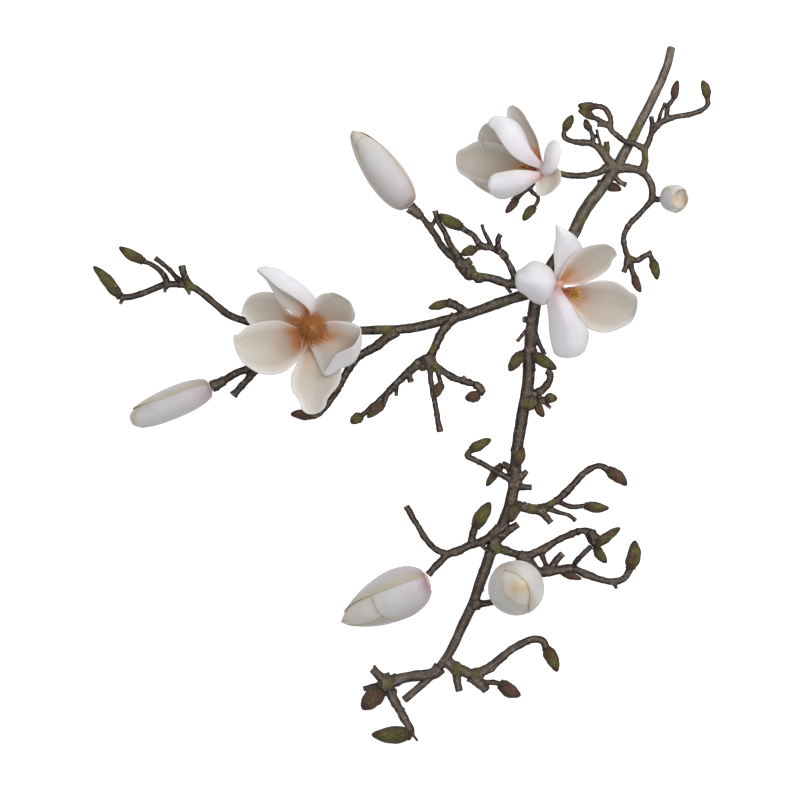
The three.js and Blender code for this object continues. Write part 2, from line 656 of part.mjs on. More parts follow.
    shoots: [
      shoot([[456, 316], [445, 327.6], [439, 338], [433, 351], [429, 361]], [9.6, 8.6], 6),
      shoot([[427, 356], [432, 366]], [11, 10.4], 1),
      shoot([[429, 361], [421.6, 361], [413.5, 368], [403, 377], [393, 387], [381, 399.6],
        [370.6, 408], [361, 416]], [9.2, 5.4], -12, [350.5, 423.5, 11]),
      shoot([[388, 392], [383.5, 404]], [4.6, 4.6], 4, [367, 418, 9.2]),
      shoot([[408, 372], [411, 382]], [5.6, 5.4], 3),
      shoot([[397, 383], [396, 396]], [4, 3], -3),
      shoot([[429, 361], [430, 367], [431, 381], [434, 398], [437, 414], [440, 432]],
        [5.4, 6.2], 6),
      shoot([[429, 361], [436, 367], [444, 372], [454, 378], [466.5, 382], [476.7, 385],
        [481.5, 389], [479, 395]], [8, 6.4], 3, [464.5, 398, 11.4]),
      shoot([[437, 368], [440, 380], [441, 384]], [4.6, 4.6], 5, [435.5, 398, 10]),
      shoot([[462, 380], [465, 376]], [4, 3], 2),
      shoot([[475, 384.6], [480.5, 388], [482, 393]], [7.6, 6.4], 1),
    ],
  },
  {
    name: 'bud_1_fork',
    on: ['main_stem', 'left_limb'],
    seats: ['bud_1'],
    shoots: [
      shoot([[544, 279], [530, 283], [514, 284], [502, 282], [489, 278], [477.6, 276.5],
        [466, 273.5], [461, 267], [457, 261], [448, 253], [441, 245], [436, 236],
        [427.6, 224.5], [418, 213], [410, 207]], [10, 6], 2),
      shoot([[421, 217], [410, 207]], [7, 10.6], 0),
      shoot([[463, 270], [458, 257], [449, 243], [444, 231], [438, 222], [435, 211]],
        [7.6, 5.2], 14),
      shoot([[520, 284], [516, 278], [510, 266], [504, 257], [497, 251], [490, 248],
        [480, 247.5], [475, 249]], [7, 5.6], 8, [461, 255.5, 10.4]),
      shoot([[486, 247.6], [478.6, 243.6], [473.5, 236], [466, 231], [461, 227.6]], [6, 6], 6,
        [438.5, 214, 12, 4]),
      shoot([[491, 249], [490, 244], [484, 232], [481.6, 224.5]], [4.6, 3.6], 6),
      shoot([[499, 252], [497.6, 240], [500.5, 234.6]], [5.6, 5.2], 7),
      shoot([[501, 257], [506, 253]], [8, 7.4], 2),
      shoot([[461, 266], [466, 263], [471, 260]], [10, 6.4], 4),
      shoot([[505, 282], [507, 287], [511, 293]], [4.4, 3.4], 5),
      shoot([[430, 228], [439, 214]], [4.4, 3.6], 2),
    ],
  },
  {
    name: 'lower_left_twig',
    on: ['main_stem'],
    seats: [],
    shoots: [
      shoot([[513, 481], [506, 477], [495, 471], [483, 464], [473, 459], [467, 455.5],
        [470.6, 450]], [6.4, 5.4], 8, [491.5, 439.5, 10.4, 4]),
      shoot([[511, 474], [508, 466.6], [502, 464.6]], [5.6, 7], -5, [486.5, 487, 9, -2]),
    ],
  },
  {
    name: 'lower_right_spray',
    on: ['main_stem'],
    seats: [],
    shoots: [
      shoot([[510, 504], [521.6, 506.5], [532, 509], [542, 508], [552, 503], [560, 498],
        [572.7, 485], [584, 473], [593, 467], [602, 466], [607, 469.5]], [8.6, 6.2], 10,
      [626.5, 486, 12]),
      shoot([[557, 501], [570, 506.5], [585, 506]], [5.6, 4.6], -6, [609.6, 508, 10.4]),
      shoot([[545, 507.5], [561, 513], [569, 515.5], [576, 521]], [6, 4], -4),
      shoot([[532, 509], [541, 512], [546, 517], [551, 523]], [8.4, 6], 6),
      shoot([[522, 506], [532, 510], [541, 508]], [9, 8], 0),
    ],
  },
  {
    name: 'right_foot_spray',
    on: ['main_stem'],
    seats: [],
    shoots: [
      shoot([[492, 548], [504, 550], [514, 554], [527, 555], [538, 552], [543, 550]],
        [8.4, 7.4], -2),
      shoot([[543, 550], [555, 542], [567.6, 536], [580, 531], [590.5, 532], [598, 538]],
        [7.4, 6.6], 8),
      shoot([[592, 533], [593, 540], [596, 545]], [5, 4.6], 3, [620.5, 527.6, 10, 4]),
      shoot([[586, 531.5], [590, 541], [596, 547]], [4.6, 4.2], -6, [607.5, 563, 10, -2]),
      shoot([[519, 555], [529, 562], [538, 571.5], [549, 572], [561, 570], [573, 569],
        [583, 573], [599, 579], [615, 582], [625, 578], [630.6, 569]], [10.4, 6.6], -2,
      [634.5, 540, 14, 3]),
      shoot([[541, 551], [544, 561], [549, 570]], [5.4, 5], -2),
      shoot([[572, 570], [576, 562], [582, 555], [591, 546]], [5.6, 4.8], 12),
      shoot([[613, 582], [617, 589]], [4, 3], 3),
      shoot([[551, 570], [556, 561], [563, 553.5]], [7.6, 6], 5),
      shoot([[560, 571], [565, 575]], [4.6, 4.6], 4, [582, 579.5, 7]),
    ],
  },
  {
    name: 'bud_3_twig',
    on: ['main_stem'],
    seats: ['bud_3'],
    shoots: [
      shoot([[500, 528], [496, 532], [484, 541], [471, 545], [458, 551], [449, 554], [441, 561],
        [434, 568], [428, 575]], [9.6, 7], 1),
      shoot([[450, 553.6], [444, 553], [436, 549.6], [427.6, 541], [419, 528], [412, 516],
        [406, 506]], [6.5, 6], 6),
      shoot([[473, 544.5], [472, 538], [475, 527]], [7, 7], 3, [490.5, 502, 14]),
      shoot([[480, 542.5], [487, 551]], [4.4, 3.4], 3),
    ],
  },
  {
    name: 'left_foot_spray',
    on: ['main_stem'],
    seats: [],
    shoots: [
      shoot([[440, 668, 21], [434, 674, 20], [413, 677, 18], [399, 680, 16], [388, 683, 14]],
        [11.4, 10.6], 0),
      shoot([[392, 682], [382, 685]], [15, 13.5], 0),
      shoot([[388, 683], [380, 677], [372.5, 669.5]], [9.4, 7.2], 6),
      shoot([[386, 685], [375, 687], [363, 690]], [6.4, 4.8], -2),
      shoot([[387, 684], [381, 691]], [8, 8], 4, [362, 710.5, 18.5]),
      shoot([[388, 683, 14], [390, 693, 12.6], [397, 706.5, 11], [404.5, 720, 9.6],
        [410, 730, 7.6], [411, 736, 6.8]], [10.4, 7.2], 0, [371, 736, 16.6, 0]),
      shoot([[412, 736], [418, 742.5]], [3.4, 2.4], 4),
    ],
  },
  {
    name: 'right_foot_twigs',
    on: ['main_stem', 'left_foot_spray'],
    seats: [],
    shoots: [
      shoot([[447, 662], [455, 668], [461, 669.5], [469, 674], [481, 674]], [10, 10.4], 3),
      shoot([[458, 670], [457, 680], [459.6, 692]], [8.4, 6.8], -3),
      shoot([[472, 676], [480, 684], [487, 691.5]], [12.5, 7], -2),
      shoot([[478, 674], [493, 665.5], [506, 654], [520, 645], [535, 639], [544, 642],
        [546, 648]], [9.6, 7], 7, [557, 672.5, 13, -2]),
      shoot([[476, 674], [478, 680], [485, 683], [494, 683], [500, 684.5]], [6, 5], -4,
        [521.5, 696, 14, -1]),
    ],
  },
];

// ---- assembly ----

// The solid that a bloom's stalk is cut back from, its skin moved out by extra.
function seatOf(name, extra) {
  if (buds[name]) return budCore(buds[name], extra);
  const { place, radius } = flowers[name].seat;
  const ball = new THREE.SphereGeometry(radius + extra, SEAT.around, SEAT.up);
  const centre = at(place);
  ball.translate(centre.x, centre.y, centre.z);
  return solid(ball);
}

// The trunk's radius runs through its measured girths.
function girthAt(share) {
  const { girths } = trunk;
  const k = Math.max(1, girths.findIndex(([place]) => place >= share));
  const [from, to] = [girths[k - 1], girths[k]];
  return THREE.MathUtils.mapLinear(share, from[0], to[0], from[1], to[1]) / 2;
}

// All the wood of a spray in one solid, its skin moved out by extra.
function woodOf(spray, extra) {
  const parts = spray.shoots.map((piece, i) => {
    const curve = curves[spray.name][i];
    if (piece !== trunk) return shootSolid(piece, curve, extra);
    const radiusAt = (share) => girthAt(share) + extra;
    return bentBar(curve, radiusAt, WOOD.trunkSides, piece.route.length);
  });
  return join(parts);
}

const branch = new THREE.Group();
branch.name = 'magnolia_branch';

// Everything below the surface is cut off, which leaves small flats where the wood rests.
const below = solid(new THREE.BoxGeometry(CUT.side, CUT.side, CUT.deep)
  .translate(0, 0, -CUT.deep / 2));

for (const spray of sprays) {
  curves[spray.name] = [];
  for (const piece of spray.shoots) {
    curves[spray.name].push(curveOf(piece, [...spray.on, spray.name]));
  }
  let wood = woodOf(spray, 0);
  for (const name of spray.on) {
    wood = wood.subtract(woodOf(sprays.find((other) => other.name === name), GAP));
  }
  for (const name of spray.seats) wood = wood.subtract(seatOf(name, GAP));
  branch.add(meshOf(spray.name, wood.subtract(below), bark));
}

for (const [name, flower] of Object.entries(flowers)) {
  const blades = flower.tepals.map((drawn) => blade(drawn, flower.seat.place));
  const tepals = join([seatOf(name, 0), ...blades]);
  branch.add(meshOf(`${name}_tepals`, tepals, petal));
  branch.add(meshOf(`${name}_stamens`, cone(flower.cone).subtract(seatOf(name, GAP)), stamen));
}

for (const [name, drawn] of Object.entries(buds)) {
  branch.add(meshOf(`${name}_tepals`, closedBud(drawn), petal));
}

export default branch;
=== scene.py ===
# %% [markdown]
# # A cut magnolia branch in early spring
# Bare forked wood with winter buds carries three open flowers and five flower buds that are
# still closed. The branch lies on a pale table and the camera looks straight down on it.
#
# ## The frame
# The solid model of the branch is loaded first and stays as it is. Every finer piece below is
# made in the same space, in metres, so that it lies exactly where its solid lies.

# %% Load the frame
import math
import random

import bmesh
import bpy
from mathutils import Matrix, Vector, noise
from mathutils.geometry import interpolate_bezier
from mathutils.kdtree import KDTree


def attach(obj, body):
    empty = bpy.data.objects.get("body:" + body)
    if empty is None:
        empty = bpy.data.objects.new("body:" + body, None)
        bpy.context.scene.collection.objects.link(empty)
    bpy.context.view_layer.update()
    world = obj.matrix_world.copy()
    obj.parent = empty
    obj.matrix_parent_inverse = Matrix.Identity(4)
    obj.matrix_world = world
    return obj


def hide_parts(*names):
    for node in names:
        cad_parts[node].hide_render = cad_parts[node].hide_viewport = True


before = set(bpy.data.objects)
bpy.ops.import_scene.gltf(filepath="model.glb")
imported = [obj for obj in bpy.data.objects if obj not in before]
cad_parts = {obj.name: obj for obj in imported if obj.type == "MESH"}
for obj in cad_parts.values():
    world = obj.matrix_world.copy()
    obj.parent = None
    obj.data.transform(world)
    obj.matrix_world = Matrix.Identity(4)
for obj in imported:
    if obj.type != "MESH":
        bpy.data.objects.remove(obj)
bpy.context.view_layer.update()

MM = 0.001

# %% [markdown]
# ## Places
# A branch has no straight edge to measure from, so its places are read off a drawing sheet
# that lies over it at full size: so many millimetres right and down from the sheet's top left
# corner, and so many above the table. One function turns such a place into the scene's metres.
# Two more turn a bmesh into a mesh, and put a new object into the scene.

# %% From the sheet to the scene
SHEET_MIDDLE = (400, 395)


def at(right, down, up=0.0):
    return Vector((right - SHEET_MIDDLE[0], SHEET_MIDDLE[1] - down, up)) * MM


def mesh_from(bm, name):
    mesh = bpy.data.meshes.new(name)
    bm.to_mesh(mesh)
    bm.free()
    return mesh


def placed(name, data):
    made = bpy.data.objects.new(name, data)
    bpy.context.scene.collection.objects.link(made)
    return made


print("the sheet's corner lies at", tuple(round(x, 3) for x in at(0, 0)))

# %% [markdown]
# ## The camera
# A branch is flat and wide, and it is looked at from far away through a long lens, which keeps
# near buds from looking larger than far ones. The lens follows from the distance and from the
# width that has to fill the picture at the branch's own height.

# %% Hang the camera over the branch
CAMERA_HEIGHT = 6.0
VIEW_MIDDLE = (400, 400)
VIEW_WIDTH = 0.8
VIEW_LEVEL = 0.035
CAMERA_REACH = 50

camera_data = bpy.data.cameras.new("camera")
camera_data.lens = camera_data.sensor_width * (CAMERA_HEIGHT - VIEW_LEVEL) / VIEW_WIDTH
camera_data.clip_end = CAMERA_REACH
camera = placed("camera", camera_data)
camera.location = at(*VIEW_MIDDLE) + Vector((0, 0, CAMERA_HEIGHT))
bpy.context.scene.camera = camera
print("lens", round(camera_data.lens), "mm")

# %% [markdown]
# ## Tools for materials
# Colours are written as sRGB hex codes, as in any paint program, while the shader wants linear
# light, so one function converts them. Another adds one node to a material, with its settings
# and its links. Most finishes are one colour with tints laid over it, such as dirt in the
# hollows, and each tint shows where some value has risen far enough, so that is one more step.

# %% Colours and nodes


def linear(code):
    parts = [int(code[i:i + 2], 16) / 255 for i in (1, 3, 5)]
    return [c / 12.92 if c <= 0.04045 else ((c + 0.055) / 1.055) ** 2.4 for c in parts] + [1.0]


def add(tree, kind, inputs=None, stops=(), **settings):
    """One node. An input is the socket that it is linked to, a hex colour or another fixed
    value. A colour ramp also has stops, [(place, hex colour), ...]."""
    node = tree.nodes.new(kind)
    for name, value in settings.items():
        setattr(node, name, value)
    for socket, value in (inputs or {}).items():
        if isinstance(value, bpy.types.NodeSocket):
            tree.links.new(value, node.inputs[socket])
        else:
            fixed = linear(value) if isinstance(value, str) else value
            node.inputs[socket].default_value = fixed
    if stops:
        points = node.color_ramp.elements
        while len(points) < len(stops):
            points.new(0.5)
        for point, (place, code) in zip(points, stops):
            point.position = place
            point.color = linear(code)
    return node


def tinted(tree, colour, tints):
    """A colour with tints laid over it, each one by the place of a value between low and
    high, from the least to the most: (value, low, high, least, most, tint)."""
    for value, low, high, least, most, tint in tints:
        amount = add(tree, "ShaderNodeMapRange", {
            "Value": value, "From Min": low, "From Max": high, "To Min": least, "To Max": most})
        colour = add(tree, "ShaderNodeMix", {0: amount.outputs[0], 6: colour, 7: tint},
                     data_type="RGBA").outputs[2]
    return colour


def new_material(name):
    material = bpy.data.materials.new(name)
    material.use_nodes = True
    material.node_tree.nodes.clear()
    return material, material.node_tree


def surface(tree, colour, roughness, relief=None, **fixed):
    """The shader that ends a material. relief is a height, the metres that it stands for and
    how strongly it shows. The fixed values are set on the shader's own sockets."""
    inputs = {"Base Color": colour, "Roughness": roughness}
    if relief:
        bump = add(tree, "ShaderNodeBump", dict(zip(("Height", "Distance", "Strength"), relief)))
        inputs["Normal"] = bump.outputs["Normal"]
    shader = add(tree, "ShaderNodeBsdfPrincipled", inputs)
    for name, value in fixed.items():
        shader.inputs[name.replace("_", " ")].default_value = value
    add(tree, "ShaderNodeOutputMaterial", {"Surface": shader.outputs["BSDF"]})


print("white in linear light:", linear("#ffffff"))

# %% [markdown]
# ## The table and the light
# The branch lies on a plain near-white table. One soft light comes from the upper right, where
# a large window would be, so the round buds turn from light on the right to grey on the left.
# A wider one overhead opens up the cups of the flowers, and a nearly white room fills the
# shadows. The table glows a little, as paper does on a light table, so no dark edge shows.

# %% Table, window and room
FLOOR_SIZE = 12.0
TABLE_GLOW = 0.72
ROOM_LIGHT = 0.48
WINDOW_WATTS = 34
SKY_WATTS = 36
PAPER_CLOUDS = 40.0  # cloudy patches 25 mm across

paper, tree = new_material("matt_white_table_paper")
space = add(tree, "ShaderNodeTexCoord").outputs["Object"]
clouds = add(tree, "ShaderNodeTexNoise", {"Vector": space, "Scale": PAPER_CLOUDS, "Detail": 3.0})
tone = add(tree, "ShaderNodeMix", {0: clouds.outputs["Fac"], 6: "#f6f6f6", 7: "#fbfbfb"},
           data_type="RGBA").outputs[2]
surface(tree, tone, 0.9, Emission_Color=linear("#ffffff"), Emission_Strength=TABLE_GLOW)

sheet = bmesh.new()
bmesh.ops.create_grid(sheet, x_segments=1, y_segments=1, size=FLOOR_SIZE / 2)
floor = placed("table", mesh_from(sheet, "table"))
floor.data.materials.append(paper)
floor.visible_diffuse = False

room = bpy.data.worlds.new("pale_room")
room.use_nodes = True
walls = room.node_tree.nodes["Background"]
walls.inputs["Color"].default_value = linear("#fbfbff")
walls.inputs["Strength"].default_value = ROOM_LIGHT
bpy.context.scene.world = room
bpy.context.scene.view_settings.view_transform = "Standard"


def window(name, place, size, power, colour):
    """A soft rectangular light that faces the middle of the branch."""
    data = bpy.data.lights.new(name, "AREA")
    data.shape = "RECTANGLE"
    data.size, data.size_y = size
    data.energy = power
    data.color = linear(colour)[:3]
    lamp = placed(name, data)
    lamp.location = place
    lamp.rotation_euler = (-Vector(place)).to_track_quat("-Z", "Y").to_euler()


window("window_right", (1.9, 1.6, 1.75), (1.3, 1.3), WINDOW_WATTS, "#ffffff")
window("sky_above", (0.3, 0.4, 3.0), (2.4, 2.4), SKY_WATTS, "#fffefb")

# %% [markdown]
# ## Tools for growing shapes
# Wood, petals and buds are all sheets that grew into a form: a petal is a flat sheet that has
# been bent, a twig is a sheet rolled round a line, and a bud is a rolled sheet that closes at
# both ends. So every one of them starts from a flat grid whose points are then moved. A
# Catmull-Rom curve carries the routes, because it runs exactly through the places measured.

# %% Smooth routes
SPAN_STEPS = 10
TINY = 1e-9


def smooth_route(points):
    """Points of a smooth curve through the given ones, SPAN_STEPS to each stretch."""
    if len(points) == 2:
        middle = points[0].lerp(points[1], 0.5)
        points = [points[0], middle, points[1]]
    ends = [points[0] * 2 - points[1], *points, points[-1] * 2 - points[-2]]
    curve = []
    for a, b, c, d in zip(ends, ends[1:], ends[2:], ends[3:]):
        ab, bc, cd = (math.sqrt((q - p).length) for p, q in ((a, b), (b, c), (c, d)))
        leave = ((b - a) / ab - (c - a) / (ab + bc) + (c - b) / bc) * bc
        arrive = ((c - b) / bc - (d - b) / (bc + cd) + (d - c) / cd) * bc
        stretch = interpolate_bezier(b, b + leave / 3, c - arrive / 3, c, SPAN_STEPS + 1)
        curve += stretch[:-1]
    return [*curve, points[-1]]


def between(points, share):
    """The place at a share of the way along a list of points."""
    reach = min(max(share, 0.0), 1.0) * (len(points) - 1)
    k = min(int(reach), len(points) - 2)
    return points[k].lerp(points[k + 1], reach - k)


def runs(points):
    """How far along the line each of its points is."""
    total = [0.0]
    for a, b in zip(points, points[1:]):
        total.append(total[-1] + (b - a).length)
    return total


def spaced(points, count):
    """count + 1 places at equal distances along a line of points."""
    run = runs(points)
    places, k = [], 0
    for i in range(count + 1):
        here = run[-1] * i / count
        while k < len(points) - 2 and run[k + 1] < here:
            k += 1
        share = (here - run[k]) / max(run[k + 1] - run[k], TINY)
        places.append(points[k].lerp(points[k + 1], min(share, 1.0)))
    return places


def framed(points):
    """Each point with two directions square to the line, carried along without a twist."""
    way = (points[1] - points[0]).normalized()
    side = way.orthogonal().normalized()
    frames = []
    for i, here in enumerate(points):
        onward = (points[min(i + 1, len(points) - 1)] - points[max(i - 1, 0)]).normalized()
        side = (way.rotation_difference(onward) @ side).normalized()
        way = onward
        frames.append((here, side, way.cross(side)))
    return frames


print("a route of 3 places has", len(smooth_route([at(0, 0), at(5, 5), at(9, 5)])), "points")

# %% Bent and rolled sheets
TURN = 2 * math.pi
WELD = 0.01 * MM


def spoke(turn):
    """A direction round the Z axis."""
    return Vector((math.cos(turn), math.sin(turn), 0))


def on_ball(turn, fall):
    """A direction on a ball; fall runs from its lowest point up to its highest."""
    return Vector((math.cos(turn) * math.sin(fall), math.sin(turn) * math.sin(fall),
                   -math.cos(fall)))


def bent_sheet(bm, place, across, along):
    """A flat grid, its points moved to place(u, v); u and v run from 0 to 1."""
    made = bmesh.ops.create_grid(
        bm, x_segments=across, y_segments=along, size=0.5, calc_uvs=True)["verts"]
    for vert in made:
        vert.co = place(vert.co.x + 0.5, vert.co.y + 0.5)
    return made


def rolled(bm, place, around, along):
    """A sheet whose two long edges meet: they are welded and its ends are closed."""
    made = bent_sheet(bm, place, around, along)
    bmesh.ops.remove_doubles(bm, verts=made, dist=WELD)
    made = [vert for vert in made if vert.is_valid]
    rims = {edge for vert in made for edge in vert.link_edges if edge.is_boundary}
    if rims:
        bmesh.ops.holes_fill(bm, edges=list(rims), sides=0)
    return made


def new_form(*traits):
    """An empty bmesh with a UV map, and a number on its points for each trait."""
    bm = bmesh.new()
    bm.loops.layers.uv.new("UVMap")
    for trait in traits:
        bm.verts.layers.float.new(trait)
    return bm


def faces_of(made):
    """The faces on some points, with their normals up to date."""
    faces = list({face for vert in made for face in vert.link_faces})
    for face in faces:
        face.normal_update()
    return faces


def piece(name, bm, material, replaces=None):
    """A finished piece of the branch, made from the closed forms in a bmesh."""
    bmesh.ops.recalc_face_normals(bm, faces=bm.faces)
    return declared(name, mesh_from(bm, name), [material], replaces)


def blades(name, bm, outer, inner, thickness, replaces):
    """A finished piece made from open sheets. It gets a wall that is inner on its far side."""
    made = declared(name, mesh_from(bm, name), [outer, inner], replaces)
    wall = made.modifiers.new("wall", "SOLIDIFY")
    wall.thickness = thickness
    wall.offset = 0
    wall.material_offset = 1
    wall.use_quality_normals = True
    return made


def declared(name, mesh, materials, replaces=None):
    for material in materials:
        mesh.materials.append(material)
    mesh.shade_smooth()
    made = placed(name, mesh)
    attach(made, "root")
    if replaces:
        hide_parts(replaces)
    return made


print("a spoke at a quarter turn:", tuple(round(x, 3) for x in spoke(math.pi / 2)))

# %% [markdown]
# ## The drawing of the wood
# Each twig is drawn as a route from the wood that bears it to its end, with its thickness at
# both ends, how far it climbs on the way, and the winter bud that it ends in, if it has one.
# The routes are the same as in the solid model, so the finer wood grows through the same
# places. Only the main stem, the left limb and a foot twig have heights of their own, because
# they lie on the table; every other twig starts at the height of whatever bears it.

# %% Routes of the wood


def shoot(route, thick, climb, bud=None):
    return {"route": route, "thick": thick, "climb": climb, "bud": bud}


TRUNK = shoot([
    [673, 45.5, 3.2], [668, 65, 7.4], [654, 97, 13], [641, 122, 17], [629, 145, 20], [617, 166, 24],
    [603, 186, 27], [585, 210, 30], [572, 236, 32], [553, 264, 34], [538, 292, 34],
    [533, 320, 34], [530, 348, 34], [528, 384, 34], [523, 412, 34], [517, 451, 33],
    [514, 487, 32], [506, 517, 31], [494, 543, 30], [487, 564, 29], [480, 583, 28],
    [473, 604, 26], [463, 625, 25], [453, 647, 23], [444, 662, 22], [430, 678, 19],
    [404, 701, 16],
  ],
    [8.4, 8], 0)
TRUNK_GIRTHS = [[0, 8.4], [0.12, 9.4], [0.25, 12.6], [0.5, 12.4], [0.75, 12], [0.9, 9.5], [1, 7.6]]

